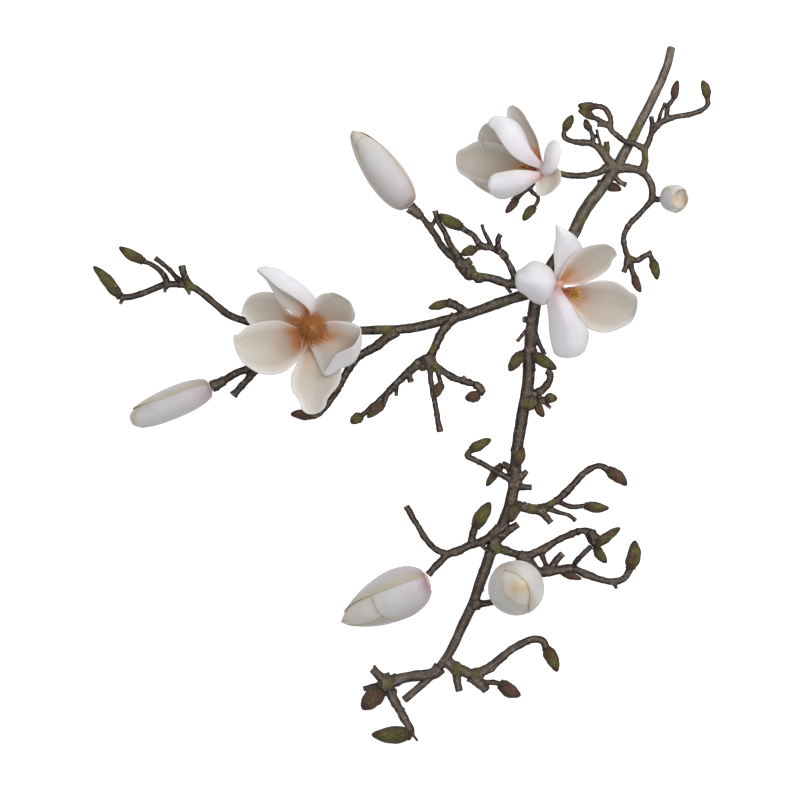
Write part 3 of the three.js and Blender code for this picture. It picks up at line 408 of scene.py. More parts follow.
SPRAYS = {
    "main_stem": ([], [
        TRUNK,
        shoot([[541, 288], [550, 287], [558, 285]], [8, 7], 14),  # flower 2
        shoot([[612, 172], [619, 181], [627, 185]], [6, 4.4], 2),
        shoot([[604, 180], [608, 186]], [6, 5], -6, [622, 190, 9]),
        shoot([[604, 182], [598, 181]], [4.4, 3.6], -2),
        shoot([[532, 320], [523, 319.5]], [6, 5.6], 4),
        shoot([[531, 325], [524, 333], [517, 341.6]], [4.6, 3.4], 6),
        shoot([[533, 328], [537, 340], [545, 355]], [6.8, 4], 4),
        shoot([[529, 350], [523, 353]], [6, 6], 5, [509, 371.5, 12]),
        shoot([[530, 350], [533, 354.5]], [6, 6], 5, [556.5, 369.5, 11.5]),
        shoot([[528, 397], [538, 392.5], [545, 387.5], [550, 380], [550, 373], [546, 370.5]],
          [9, 6], 6),
        shoot([[527, 402], [538, 401], [546, 399]], [6.6, 5.6], 3, [557.5, 399, 10]),
        shoot([[536, 402], [544, 403], [551, 408]], [4, 3.4], 3),
        shoot([[526, 403], [537, 404]], [6, 6], 6, [544, 417, 8.5]),
        shoot([[523, 403], [530, 403.5], [538, 401]], [12.5, 9], 5),
        shoot([[516, 468], [517, 464]], [6, 6], 5, [522, 446, 10.5]),
        shoot([[513, 484], [520, 479], [527, 470.5]], [7.4, 4.8], 3),
        shoot([[513, 485], [523, 487], [532, 487.5]], [8, 5.6], 2),
        shoot([[510, 500], [517.5, 505]], [6, 6], 6, [511, 522.5, 11]),
        shoot([[493, 543], [503, 535], [518, 524]], [10.5, 6.4], 6),
        shoot([[473, 603], [484, 603.5], [495, 601], [503, 596], [511, 590]],
          [7.4, 6], 12),  # bud 4
    ]),
    "upper_right_spray": (["main_stem"], [
        shoot([[618, 168], [632, 168], [643, 172], [650, 180], [653, 189], [653, 199]], [9, 7], -4),
        shoot([[653, 199], [661, 199]], [5, 5], 4),  # bud 5
        shoot([[653, 199], [649, 204], [640, 213.6], [630.5, 223], [625, 233], [624.7, 242],
          [627, 252], [630, 258]], [5.8, 5.6], -4),
        shoot([[630, 258], [637, 260], [646, 255], [650, 254], [653, 260]], [6, 5], 4,
          [657.5, 280, 9.5]),
        shoot([[646, 255], [652, 250.5]], [4, 3.4], 0),
        shoot([[630, 256], [631, 265], [635, 275]], [8, 5], -2, [642, 292, 8.5]),
        shoot([[629, 258], [627, 264], [624, 272]], [6.4, 5], 3),
        shoot([[643, 173], [645.5, 161], [645.7, 149], [650, 139], [654, 130], [662, 122],
          [670, 118], [680, 116], [693, 113], [702, 110], [708, 104], [707.5, 97]], [7, 5.4], 10,
        [702, 80, 9.6]),
        shoot([[667, 118], [668, 107.5], [674, 98]], [4.8, 4.4], 4, [678, 80, 8.2]),
        shoot([[657, 127], [661, 112], [665, 102]], [4, 3], 6),
        shoot([[652, 133], [652.5, 125], [651.5, 116]], [5, 4.6], 5),
        shoot([[645.7, 149], [641.6, 147], [633.5, 143], [625, 141], [617, 135], [611, 129],
          [611, 120], [608, 112], [604, 107.6], [595, 106]], [6, 5.4], 9, [577.5, 105, 9.4]),
        shoot([[611, 127], [601, 121], [593, 117.5]], [5, 4.4], 3, [577.5, 110.5, 8.2]),
        shoot([[613, 131], [607, 127], [597, 125]], [3.8, 3], 4),
    ]),
    "upper_left_spray": (["main_stem"], [
        shoot([[615, 167], [605, 155.5], [599, 148], [591, 143], [580, 142], [570, 140],
          [564, 136], [565, 129]], [9, 4.6], 2, [573, 114.5, 9.4]),
        shoot([[592, 144], [593.5, 137], [590, 129]], [5.4, 4.4], 3, [585.5, 118.5, 7.6]),
        shoot([[604, 152], [599, 140], [597, 129]], [3.8, 3], 5),
        shoot([[607, 156], [607.5, 148], [606.5, 141]], [5, 5.6], 2),
    ]),
    "flower_3_twig": (["main_stem", "upper_left_spray"], [
        shoot([[613, 170], [609, 167], [599, 172], [580, 176], [570, 175.5], [558, 173],
          [541, 172]], [7.4, 6.2], 17),
        shoot([[558, 174], [548, 176], [541, 178], [536, 181], [530, 188]], [4.6, 4.2], -6),
        shoot([[530, 188], [519.6, 195], [511, 200.5]], [4.2, 3], 3),
        shoot([[522, 193.5], [517, 200]], [3.8, 3.4], -2, [505.5, 213.5, 8]),
        shoot([[530, 188], [532, 192], [538, 197], [537, 203], [534, 207]], [4.2, 3.8], 2,
          [523, 221, 9.5]),
    ]),
    "left_limb": (["main_stem"], [
        shoot([
          [538, 291, 34], [520, 296, 33], [502, 302, 32], [471, 313, 31], [446, 320, 30],
          [411, 328, 29], [376, 330, 28], [330, 331, 26], [290, 330, 24], [246, 321, 23],
          [229, 315, 22], [215.5, 304.6, 20], [204, 295, 18], [190, 286, 15], [165, 284, 12],
          [153.5, 288, 9], [142, 292.6, 7], [130.5, 296, 5.2], [119, 297, 4.5],
        ], [11.2, 6.4], 0, [91, 265.5, 11.4, 0]),
        shoot([[316, 331], [311, 331], [309, 330]], [7, 7], 14),  # flower 1
        shoot([[122, 297], [119, 303.5]], [4, 3], 4),
        shoot([[116, 293], [114, 285]], [4, 3], 5),
        shoot([[166, 284], [165, 278], [159, 270], [153.5, 265.6], [143, 261]], [6, 4.6], 8,
          [118.5, 246, 10.6, 4]),
        shoot([[183, 285], [172, 272.5], [163, 264], [154.6, 257.6]], [5.8, 4.8], 14),
        shoot([[189, 286], [183, 272.5], [181.4, 265]], [7.4, 6.8], 8),
        shoot([[165, 285], [164, 292]], [4, 3], 3),
        shoot([[186, 286], [189, 294.5]], [4, 3], 3),
        shoot([[466, 314], [458, 306.5], [447, 302.4]], [7, 8.6], 6, [428, 308, 9]),
        shoot([[292, 331], [275, 350], [259, 366], [246, 369], [232.5, 375], [221, 382],
          [211, 386]], [8, 7.4], -3),  # bud 2
        shoot([[224, 380.5], [211, 386.5]], [8, 10.8], 0),
        shoot([[258, 366], [250, 376], [232.5, 395.6]], [7.5, 7], -4),
    ]),
    "limb_fork": (["left_limb"], [
        shoot([[396, 330], [386, 338], [376, 346.5], [365.5, 351.6], [357, 358], [349, 369],
          [342, 381], [335, 394], [325, 407.5], [316, 416], [310, 416.5]], [10.4, 5.4], -9,
        [290, 414.6, 10, 1]),
        shoot([[340, 384], [337, 390], [333, 392]], [4.4, 4], 3),
    ]),
    "middle_fork": (["left_limb"], [
        shoot([[456, 316], [445, 327.6], [439, 338], [433, 351], [429, 361]], [9.6, 8.6], 6),
        shoot([[427, 356], [432, 366]], [11, 10.4], 1),
        shoot([[429, 361], [421.6, 361], [413.5, 368], [403, 377], [393, 387], [381, 399.6],
          [370.6, 408], [361, 416]], [9.2, 5.4], -12, [350.5, 423.5, 11]),
        shoot([[388, 392], [383.5, 404]], [4.6, 4.6], 4, [367, 418, 9.2]),
        shoot([[408, 372], [411, 382]], [5.6, 5.4], 3),
        shoot([[397, 383], [396, 396]], [4, 3], -3),
        shoot([[429, 361], [430, 367], [431, 381], [434, 398], [437, 414], [440, 432]],
          [5.4, 6.2], 6),
        shoot([[429, 361], [436, 367], [444, 372], [454, 378], [466.5, 382], [476.7, 385],
          [481.5, 389], [479, 395]], [8, 6.4], 3, [464.5, 398, 11.4]),
        shoot([[437, 368], [440, 380], [441, 384]], [4.6, 4.6], 5, [435.5, 398, 10]),
        shoot([[462, 380], [465, 376]], [4, 3], 2),
        shoot([[475, 384.6], [480.5, 388], [482, 393]], [7.6, 6.4], 1),
    ]),
    "bud_1_fork": (["main_stem", "left_limb"], [
        shoot([[544, 279], [530, 283], [514, 284], [502, 282], [489, 278], [477.6, 276.5],
          [466, 273.5], [461, 267], [457, 261], [448, 253], [441, 245], [436, 236],
          [427.6, 224.5], [418, 213], [410, 207]], [10, 6], 2),
        shoot([[421, 217], [410, 207]], [7, 10.6], 0),
        shoot([[463, 270], [458, 257], [449, 243], [444, 231], [438, 222], [435, 211]],
          [7.6, 5.2], 14),
        shoot([[520, 284], [516, 278], [510, 266], [504, 257], [497, 251], [490, 248],
          [480, 247.5], [475, 249]], [7, 5.6], 8, [461, 255.5, 10.4]),
        shoot([[486, 247.6], [478.6, 243.6], [473.5, 236], [466, 231], [461, 227.6]], [6, 6], 6,
          [438.5, 214, 12, 4]),
        shoot([[491, 249], [490, 244], [484, 232], [481.6, 224.5]], [4.6, 3.6], 6),
        shoot([[499, 252], [497.6, 240], [500.5, 234.6]], [5.6, 5.2], 7),
        shoot([[501, 257], [506, 253]], [8, 7.4], 2),
        shoot([[461, 266], [466, 263], [471, 260]], [10, 6.4], 4),
        shoot([[505, 282], [507, 287], [511, 293]], [4.4, 3.4], 5),
        shoot([[430, 228], [439, 214]], [4.4, 3.6], 2),
    ]),
    "lower_left_twig": (["main_stem"], [
        shoot([[513, 481], [506, 477], [495, 471], [483, 464], [473, 459], [467, 455.5],
          [470.6, 450]], [6.4, 5.4], 8, [491.5, 439.5, 10.4, 4]),
        shoot([[511, 474], [508, 466.6], [502, 464.6]], [5.6, 7], -5, [486.5, 487, 9, -2]),
    ]),
    "lower_right_spray": (["main_stem"], [
        shoot([[510, 504], [521.6, 506.5], [532, 509], [542, 508], [552, 503], [560, 498],
          [572.7, 485], [584, 473], [593, 467], [602, 466], [607, 469.5]], [8.6, 6.2], 10,
        [626.5, 486, 12]),
        shoot([[557, 501], [570, 506.5], [585, 506]], [5.6, 4.6], -6, [609.6, 508, 10.4]),
        shoot([[545, 507.5], [561, 513], [569, 515.5], [576, 521]], [6, 4], -4),
        shoot([[532, 509], [541, 512], [546, 517], [551, 523]], [8.4, 6], 6),
        shoot([[522, 506], [532, 510], [541, 508]], [9, 8], 0),
    ]),
    "right_foot_spray": (["main_stem"], [
        shoot([[492, 548], [504, 550], [514, 554], [527, 555], [538, 552], [543, 550]],
          [8.4, 7.4], -2),
        shoot([[543, 550], [555, 542], [567.6, 536], [580, 531], [590.5, 532], [598, 538]],
          [7.4, 6.6], 8),
        shoot([[592, 533], [593, 540], [596, 545]], [5, 4.6], 3, [620.5, 527.6, 10, 4]),
        shoot([[586, 531.5], [590, 541], [596, 547]], [4.6, 4.2], -6, [607.5, 563, 10, -2]),
        shoot([[519, 555], [529, 562], [538, 571.5], [549, 572], [561, 570], [573, 569],
          [583, 573], [599, 579], [615, 582], [625, 578], [630.6, 569]], [10.4, 6.6], -2,
        [634.5, 540, 14, 3]),
        shoot([[541, 551], [544, 561], [549, 570]], [5.4, 5], -2),
        shoot([[572, 570], [576, 562], [582, 555], [591, 546]], [5.6, 4.8], 12),
        shoot([[613, 582], [617, 589]], [4, 3], 3),
        shoot([[551, 570], [556, 561], [563, 553.5]], [7.6, 6], 5),
        shoot([[560, 571], [565, 575]], [4.6, 4.6], 4, [582, 579.5, 7]),
    ]),
    "bud_3_twig": (["main_stem"], [
        shoot([[500, 528], [496, 532], [484, 541], [471, 545], [458, 551], [449, 554], [441, 561],
          [434, 568], [428, 575]], [9.6, 7], 1),
        shoot([[450, 553.6], [444, 553], [436, 549.6], [427.6, 541], [419, 528], [412, 516],
          [406, 506]], [6.5, 6], 6),
        shoot([[473, 544.5], [472, 538], [475, 527]], [7, 7], 3, [490.5, 502, 14]),
        shoot([[480, 542.5], [487, 551]], [4.4, 3.4], 3),
    ]),
    "left_foot_spray": (["main_stem"], [
        shoot([[440, 668, 21], [434, 674, 20], [413, 677, 18], [399, 680, 16], [388, 683, 14]],
          [11.4, 10.6], 0),
        shoot([[392, 682], [382, 685]], [15, 13.5], 0),
        shoot([[388, 683], [380, 677], [372.5, 669.5]], [9.4, 7.2], 6),
        shoot([[386, 685], [375, 687], [363, 690]], [6.4, 4.8], -2),
        shoot([[387, 684], [381, 691]], [8, 8], 4, [362, 710.5, 18.5]),
        shoot([[388, 683, 14], [390, 693, 12.6], [397, 706.5, 11], [404.5, 720, 9.6],
          [410, 730, 7.6], [411, 736, 6.8]], [10.4, 7.2], 0, [371, 736, 16.6, 0]),
        shoot([[412, 736], [418, 742.5]], [3.4, 2.4], 4),
    ]),
    "right_foot_twigs": (["main_stem", "left_foot_spray"], [
        shoot([[447, 662], [455, 668], [461, 669.5], [469, 674], [481, 674]], [10, 10.4], 3),
        shoot([[458, 670], [457, 680], [459.6, 692]], [8.4, 6.8], -3),
        shoot([[472, 676], [480, 684], [487, 691.5]], [12.5, 7], -2),
        shoot([[478, 674], [493, 665.5], [506, 654], [520, 645], [535, 639], [544, 642],
          [546, 648]], [9.6, 7], 7, [557, 672.5, 13, -2]),
        shoot([[476, 674], [478, 680], [485, 683], [494, 683], [500, 684.5]], [6, 5], -4,
          [521.5, 696, 14, -1]),
    ]),
}
twigs = sum(len(shoots) for on, shoots in SPRAYS.values())
print("wood:", twigs, "twigs in", len(SPRAYS), "sprays")

# %% [markdown]
# ## The twigs' own curves
# A twig's root is as high as the wood nearest to it, and from there it climbs quickly at first
# and then levels out, as a twig does that reaches up and is pulled over by its bud.

# %% Give every twig its height
curves = {}


def height_near(place, names):
    here = at(*place)
    near = (point for name in names for curve in curves.get(name, []) for point in curve)
    return min(near, key=lambda point: (point.xy - here.xy).length_squared).z / MM


def curve_of(drawn, names):
    route, climb = drawn["route"], drawn["climb"]
    if len(route[0]) == 3:
        return smooth_route([at(*place) for place in route])
    root = height_near(route[0], names)
    run = runs([at(*place) for place in route])
    length = runs(smooth_route([at(*place) for place in route]))[-1]
    return smooth_route([
        at(*place, root + climb * math.sin(min(done / length, 1) * math.pi / 2))
        for place, done in zip(route, run)])


for name, (on, shoots) in SPRAYS.items():
    curves[name] = []
    for drawn in shoots:
        curves[name].append(curve_of(drawn, [*on, name]))
print("main stem", round(runs(curves["main_stem"][0])[-1] * 1000), "mm long")

# %% [markdown]
# ## How thick a twig is
# A magnolia twig isn't a smooth rod. It flares where it leaves the wood that bears it, and
# every few millimetres it has a raised ring, the scar that a leaf or a bud scale left. Under a
# bud it swells a little. All of that is one function of the place along the twig, and the
# scars are drawn with a seeded generator, so each run grows the same branch.

# %% Girth along a twig
ROOT_FLARE = 0.34
ROOT_REACH = 0.7
SCAR_EVERY = (4, 13)
SCAR_HEIGHT = (0.08, 0.26)
SCAR_WIDTH = 0.95 * MM
SCAR_SPREAD = (0.8, 1.5)
END_SWELL = 0.2
END_REACH = 0.7
UNEVEN = 0.16
UNEVEN_SCALE = 110
NOISE_ROOM = 100
THIN_TWIG = 3.2
OLD_THICK = 11
OLD_SCAR_EVERY = (22, 60)
OLD_EVENNESS = 0.35
scars = random.Random(5)


def is_old(drawn):
    """Old wood, whose bark has grown smooth: the stem, the limb and the thickest foot branch."""
    return drawn is TRUNK or (drawn["thick"][0] > OLD_THICK and len(drawn["route"][0]) == 3)


def profile_at(profile, share):
    """The value at a share of the way along [(share, value), ...], the last one beyond it."""
    for (a, low), (b, high) in zip(profile, profile[1:]):
        if share <= b:
            return low + (high - low) * (share - a) / (b - a)
    return profile[-1][1]


def plain_girth(drawn, share):
    """The radius without rings and swellings, in millimetres."""
    root, end = drawn["thick"]
    profile = TRUNK_GIRTHS if drawn is TRUNK else [(0, root), (1, end)]
    return profile_at(profile, share) / 2


def girth_along(drawn, length):
    """A function that gives the twig's radius in metres, so many metres from its root."""
    root, end = drawn["thick"]
    own = scars.uniform(0, NOISE_ROOM)
    every = OLD_SCAR_EVERY if is_old(drawn) else SCAR_EVERY
    uneven = UNEVEN * (OLD_EVENNESS if is_old(drawn) else 1)
    rings, place = [], scars.uniform(*every) * MM
    while place < length:
        height, wide = scars.uniform(*SCAR_HEIGHT), scars.uniform(*SCAR_SPREAD)
        rings.append((place, height, wide * SCAR_WIDTH))
        place += scars.uniform(*every) * MM

    def radius(run):
        plain = plain_girth(drawn, run / length)
        swell = uneven * noise.noise(Vector((run * UNEVEN_SCALE, own, 0)))
        if drawn is not TRUNK:
            swell += ROOT_FLARE * math.exp(-run / (ROOT_REACH * root * MM))
            swell += END_SWELL * math.exp(-(length - run) / (END_REACH * end * MM))
        thin = min(1, THIN_TWIG / plain)
        for place, height, width in rings:
            swell += height * thin * math.exp(-((run - place) / width) ** 2)
        return plain * (1 + swell) * MM

    return radius


thinnest = min(min(drawn["thick"]) for on, shoots in SPRAYS.values() for drawn in shoots)
print("twig girths from", thinnest, "mm")

# %% [markdown]
# ## The bark
# Young magnolia wood is smooth. The two-year-old stem is grey-taupe with an olive bloom and
# fine lengthwise fibres, and the youngest twigs are purplish brown. Small pale corky dots,
# the lenticels, sit on all of it. The grain must follow each twig round its bends, so the wood
# pieces carry an attribute for it, the place around and along the twig in metres. Others hold
# the twig's radius in millimetres, which turns brown twigs into grey wood, how proud a lump
# is, where moss grows, where the wood is cut, and how far a place faces up, which the colour
# uses for painted shade on the side that faces down and a painted highlight on the side that
# faces up. Bark is rough and hardly glossy, so its roughness is high, its specular level is
# low and it has no coat.

# %% Bark of the stem and the twigs
FIBRE = 620.0  # fibres 1.6 mm wide, coarser than real ones so that they show
PATCH = 42.0  # patches 24 mm across
BANDS = 330.0  # bands 3 mm apart
MOTTLE = 260.0  # specks 4 mm apart
BARK_TRAITS = ("girth", "proud", "moss", "cut", "upper")

bark, tree = new_material("magnolia_bark")
grain = add(tree, "ShaderNodeAttribute", attribute_name="grain").outputs["Vector"]
girth, proud, moss, cut, upper = (
    add(tree, "ShaderNodeAttribute", attribute_name=trait).outputs["Fac"] for trait in BARK_TRAITS)
space = add(tree, "ShaderNodeTexCoord").outputs["Object"]
long_grain = add(tree, "ShaderNodeMapping", {"Vector": grain, "Scale": (1, 1, 0.13)})
fibre = add(tree, "ShaderNodeTexNoise", {
    "Vector": long_grain.outputs["Vector"], "Scale": FIBRE, "Detail": 4.0, "Roughness": 0.62})
round_grain = add(tree, "ShaderNodeMapping", {"Vector": grain, "Scale": (0.2, 0.2, 1)})
bands = add(tree, "ShaderNodeTexNoise", {
    "Vector": round_grain.outputs["Vector"], "Scale": BANDS, "Detail": 3.0})
patches = add(tree, "ShaderNodeTexNoise", {"Vector": space, "Scale": PATCH, "Detail": 3.0})
mottle = add(tree, "ShaderNodeTexNoise", {"Vector": space, "Scale": MOTTLE, "Detail": 5.0})
down_stem = add(tree, "ShaderNodeSeparateXYZ", {"Vector": space}).outputs["Y"]

down_stem = add(tree, "ShaderNodeMapRange", {
    "Value": down_stem, "From Min": -0.34, "From Max": 0.34}).outputs[0]

old = add(tree, "ShaderNodeValToRGB", {"Fac": down_stem}, [
    (0.0, "#84766e"), (0.3, "#463c33"), (0.6, "#453b30"), (0.82, "#746a5d"),
    (1.0, "#ac9d8e")]).outputs["Color"]
young, mossy_green, cut_wood = (
    add(tree, "ShaderNodeMix", {0: value.outputs["Fac"], 6: dark, 7: light},
        data_type="RGBA").outputs[2]
    for value, dark, light in (
        (patches, "#231817", "#452f2e"), (mottle, "#3b3a1c", "#7c7843"),
        (fibre, "#8d7658", "#b9a283")))
wood = tinted(tree, young, [
    (girth, 2.6, 4.8, 0.0, 1.0, old),
    (patches.outputs["Fac"], 0.5, 0.66, 0.0, 0.5, "#615b3f"),  # olive bloom
    (fibre.outputs["Fac"], 0.4, 0.6, 0.8, 0.0, "#1c1412")])  # dark fibres
for low, high, most, tint in ((0.5, 0.68, 0.42, "#2b201d"), (0.44, 0.3, 0.35, "#8c7d70")):
    # the bands fade where the wood gets thick
    thin_most = add(tree, "ShaderNodeMapRange", {
        "Value": girth, "From Min": 4.6, "From Max": 3.4, "To Min": 0.1 * most, "To Max": most})
    wood = tinted(tree, wood, [
        (bands.outputs["Fac"], low, high, 0.0, thin_most.outputs[0], tint)])
wood = tinted(tree, wood, [
    (mottle.outputs["Fac"], 0.56, 0.66, 0.0, 0.45, "#a2948a"),  # lenticels
    (proud, 0.04, 0.3, 0.0, 0.22, "#86706a"),  # worn ridges
    (proud, 0.0, -0.2, 0.0, 0.6, "#2a1f1c"),  # darker in the hollows
    (upper, 0.9, 0.3, 0.0, 0.85, "#1a1311"),  # painted shade on the side that faces down
    (upper, 0.85, 1.0, 0.0, 0.22, "#a2968a"),  # painted highlight on the side that faces up
    (moss, 0.25, 0.8, 0.0, 0.8, mossy_green),
    (cut, 0.0, 1.0, 0.0, 1.0, cut_wood)])
height = add(tree, "ShaderNodeMath", {0: fibre.outputs["Fac"], 1: mottle.outputs["Fac"]},
             operation="ADD")
surface(tree, wood, 0.72, (height.outputs[0], 0.8 * MM, 0.9), Specular_IOR_Level=0.14)
print("bark:", len(tree.nodes), "nodes")

# %% [markdown]
# ## Grow the wood
# Every twig is a sheet rolled round its route. Where twigs meet, the real wood runs together
# in a smooth crotch, which rolled sheets alone don't do. So all the twigs of a spray are
# remeshed into one skin with voxels a little under a millimetre, and the skin is smoothed a
# little. Then its points are moved in and out by noise that is stretched along the grain, for
# the shallow furrows that catch the light on real bark.

# %% Rolled twigs, melted into one skin for each spray
VOXEL = 0.8 * MM
SMOOTH_STEPS = 3
SMOOTH_PULL = 0.5
RING_STEP = 1.6 * MM
FEWEST_RINGS = 6
TWIG_SIDES = 14
TRUNK_SIDES = 30
FURROW = 0.3 * MM
FURROW_SCALE = (420, 420, 55)
LUMP = 0.42 * MM
LUMP_SCALE = 95
FULL_RELIEF = 5 * MM
OLD_RADIUS = 4.6 * MM
OLD_RELIEF = 0.6
WANDER = 0.6 * MM
WANDER_SCALE = 85
UP_WANDER = 1.3  # the wander up and down has its own pace
HELD_RINGS = 4  # rings at each end that hardly wander
NODE_EVERY = (8, 24)
NODE_PLACE = 0.72
NODE_SIZE = 0.46
KNOT_ROUGH = 0.4
KNOT_SCALE = 1.7
KNOT_GRID = (14, 9)
CUT_EDGE = 0.8 * MM
CUT_REACH = 0.4
END_CLEAR = 5 * MM
MOSS_SCALE = 240
MOSS_RAGGED = 0.5
MOSS_COVER = 1.3
MOSS_SPOTS = [(480, 271, 12), (529, 404, 9), (471, 262, 7), (541, 290, 12), (434, 366, 8),
              (565, 250, 9), (189, 287, 9), (388, 684, 9), (477, 674, 9), (497, 549, 9),
              (459, 668, 10), (503, 552, 7), (552, 503, 6), (267, 357, 6), (630, 257, 5),
              (644, 158, 12), (636, 131, 15), (385, 329, 10), (431, 348, 8), (584, 222, 8),
              (605, 145, 7), (562, 172, 7), (458, 245, 8), (532, 509, 8)]
KNOTS = {
    "bud_1_fork": [(469, 272, 7.6), (461, 264, 6), (479, 278, 6)],
    "middle_fork": [(427, 360, 6.4), (434, 366, 5.6), (423, 367, 4.6)],
    "main_stem": [(531, 403, 7.4), (541, 291, 8), (515, 484, 7.4), (512, 505, 7.2),
                  (495, 548, 7.6), (475, 604, 7), (530, 351, 7), (527, 393, 6.6)],
    "lower_right_spray": [(528, 508, 5.6), (545, 508, 4.8)],
    "left_foot_spray": [(385, 685, 8.2), (396, 681, 6.4), (391, 694, 6)],
    "right_foot_twigs": [(456, 668, 6.8), (478, 674, 6.4)],
    "right_foot_spray": [(546, 571, 5.6), (543, 550, 4.8), (592, 533, 4.4)],
    "left_limb": [(188, 286, 5.2), (166, 284, 4.4), (257, 367, 5)],
    "limb_fork": [(357, 355, 5.2), (394, 332, 5.6)],
}
lumps = random.Random(8)


def knot(bm, centre, size):
    """A rough lump of wood with a radius of size."""
    seed = Vector((lumps.uniform(0, NOISE_ROOM / 2), 0, 0))

    def place(u, v):
        out = on_ball(TURN * u, math.pi * v)
        return centre + out * size * (1 + KNOT_ROUGH * noise.noise(out * KNOT_SCALE + seed))

    rolled(bm, place, *KNOT_GRID)


def roll_twig(bm, drawn, curve):
    """One twig with its nodes. It gives back each ring's frame, run and plain radius."""
    length = runs(curve)[-1]
    rings = max(FEWEST_RINGS, round(length / RING_STEP))
    frames = []
    radius = girth_along(drawn, length)
    own = lumps.uniform(0, NOISE_ROOM / 2)
    steady = OLD_EVENNESS if is_old(drawn) else 1
    for i, (here, side, up) in enumerate(framed(spaced(curve, rings))):
        free = min(1, i / HELD_RINGS, (rings - i) / HELD_RINGS) * WANDER * steady
        spot = Vector((own, 0, length * i / rings * WANDER_SCALE))
        here = here + (side * noise.noise(spot) + up * noise.noise(spot * UP_WANDER)) * free
        frames.append((here, side, up))
    sides = TRUNK_SIDES if drawn is TRUNK else TWIG_SIDES

    def place(u, v):
        here, side, up = frames[round(v * rings)]
        turn = TURN * u
        return here + (side * math.cos(turn) + up * math.sin(turn)) * radius(v * length)

    rolled(bm, place, sides, rings)
    every = OLD_SCAR_EVERY if is_old(drawn) else NODE_EVERY
    run = lumps.uniform(*every) * MM
    while run < length:
        here, side, up = frames[round(run / length * rings)]
        turn, thick = lumps.uniform(0, TURN), radius(run)
        out = side * math.cos(turn) + up * math.sin(turn)
        knot(bm, here + out * NODE_PLACE * thick, NODE_SIZE * thick)
        run += lumps.uniform(*every) * MM
    return [(here, side, up, length * i / rings, plain_girth(drawn, i / rings) * MM)
            for i, (here, side, up) in enumerate(frames)]


def melted(name, bm):
    """The bmesh's parts fused into one smooth skin."""
    bmesh.ops.recalc_face_normals(bm, faces=bm.faces)
    rough = mesh_from(bm, name)
    carrier = placed(name + "_rough", rough)
    melt = carrier.modifiers.new("melt", "REMESH")
    melt.mode = "VOXEL"
    melt.voxel_size = VOXEL
    relax = carrier.modifiers.new("relax", "SMOOTH")
    relax.factor = SMOOTH_PULL
    relax.iterations = SMOOTH_STEPS
    shown = carrier.evaluated_get(bpy.context.evaluated_depsgraph_get())
    skin = bpy.data.meshes.new_from_object(shown)
    bpy.data.objects.remove(carrier)
    bpy.data.meshes.remove(rough)
    return skin


def mossy(point):
    """How mossy a place is, from 0 to 1."""
    nearest = 0.0
    for right, down, reach in MOSS_SPOTS:
        away = (point.xy - at(right, down).xy).length / (reach * MM)
        nearest = max(nearest, 1 - away)
    patchy = noise.noise(point * MOSS_SCALE) * MOSS_RAGGED
    return max(0.0, min(1.0, nearest * MOSS_COVER + patchy * (nearest > 0)))


def barked(skin, lines, ends):
    """Moves the skin's points by the relief of the bark and writes its attributes."""
    finder = KDTree(len(lines))
    for i, (here, *_) in enumerate(lines):
        finder.insert(here, i)
    finder.balance()
    skin.attributes.new("grain", "FLOAT_VECTOR", "POINT")
    for trait in BARK_TRAITS:
        skin.attributes.new(trait, "FLOAT", "POINT")
    grain = skin.attributes["grain"].data
    girth, proud, moss, cut, upper = (skin.attributes[trait].data for trait in BARK_TRAITS)
    moved = []
    for vert in skin.vertices:
        here, side, up, run, radius = lines[finder.find(vert.co)[1]]
        arm = vert.co - here
        along = arm.dot(side.cross(up))
        turn = math.atan2(arm.dot(up), arm.dot(side))
        flow = spoke(turn) * radius + Vector((0, 0, run + along))
        away = math.sqrt(max(0.0, arm.length_squared - along * along))
        grain[vert.index].vector = flow
        girth[vert.index].value = radius / MM
        proud[vert.index].value = away / radius - 1
        moss[vert.index].value = mossy(vert.co)
        # how far the surface faces up, for the painted shade and painted highlight of the bark
        upper[vert.index].value = vert.normal.z
        gap = min(((vert.co - end).length - reach for end, reach in ends), default=1.0)
        cut[vert.index].value = max(0.0, min(1.0, 1 - gap / CUT_EDGE))
        size = radius / FULL_RELIEF if radius < OLD_RADIUS else OLD_RELIEF
        furrow = noise.noise(flow * Vector(FURROW_SCALE)) * FURROW
        lump = noise.noise(vert.co * LUMP_SCALE) * LUMP
        moved.append(vert.co + vert.normal * (furrow + lump) * size)
    for vert, co in zip(skin.vertices, moved):
        vert.co = (co.x, co.y, max(co.z, 0.0))
    skin.update()


def free_ends(name):
    """The ends of a spray's twigs that bear nothing, with the reach of their pale cut."""
    others = [point for curve in all_curves for point in curve[::3]]
    ends = []
    for drawn, curve in zip(SPRAYS[name][1], curves[name]):
        own = {id(point) for point in curve}
        near = min((point - curve[-1]).length for point in others if id(point) not in own)
        if near > END_CLEAR and not drawn["bud"]:
            ends.append((curve[-1], drawn["thick"][1] * CUT_REACH * MM))
    return ends


all_curves = [curve for group in curves.values() for curve in group]
for name, (on, shoots) in SPRAYS.items():
    bm = new_form()
    lines = []
    for drawn, curve in zip(shoots, curves[name]):
        lines += roll_twig(bm, drawn, curve)
    for right, down, size in KNOTS.get(name, []):
        knot(bm, at(right, down, height_near((right, down), [name])), size * MM)
    skin = melted(name, bm)
    barked(skin, lines, free_ends(name))
    made = declared(name + "_bark", skin, [bark], name)
    print(made.name, len(skin.polygons), "faces")

# %% [markdown]
# ## Winter buds
# The buds that stay closed through winter wear one felted scale each: blunt at the base, with
# a brown collar of scars, widest low down, and drawn out to a soft point. The felt is silky
# hair that all lies towards the tip. Each is a rolled sheet that closes at both ends, and the
# hair is a fine relief stretched along the bud, in the shape and again in the material.

# %% Felt of the winter buds
FELT_TRAITS = ("rise", "brown", "upper")
HAIR = 1100.0  # hairs 0.9 mm wide, coarser than real ones so that they show
BLOTCH = 150.0  # blotches 7 mm across

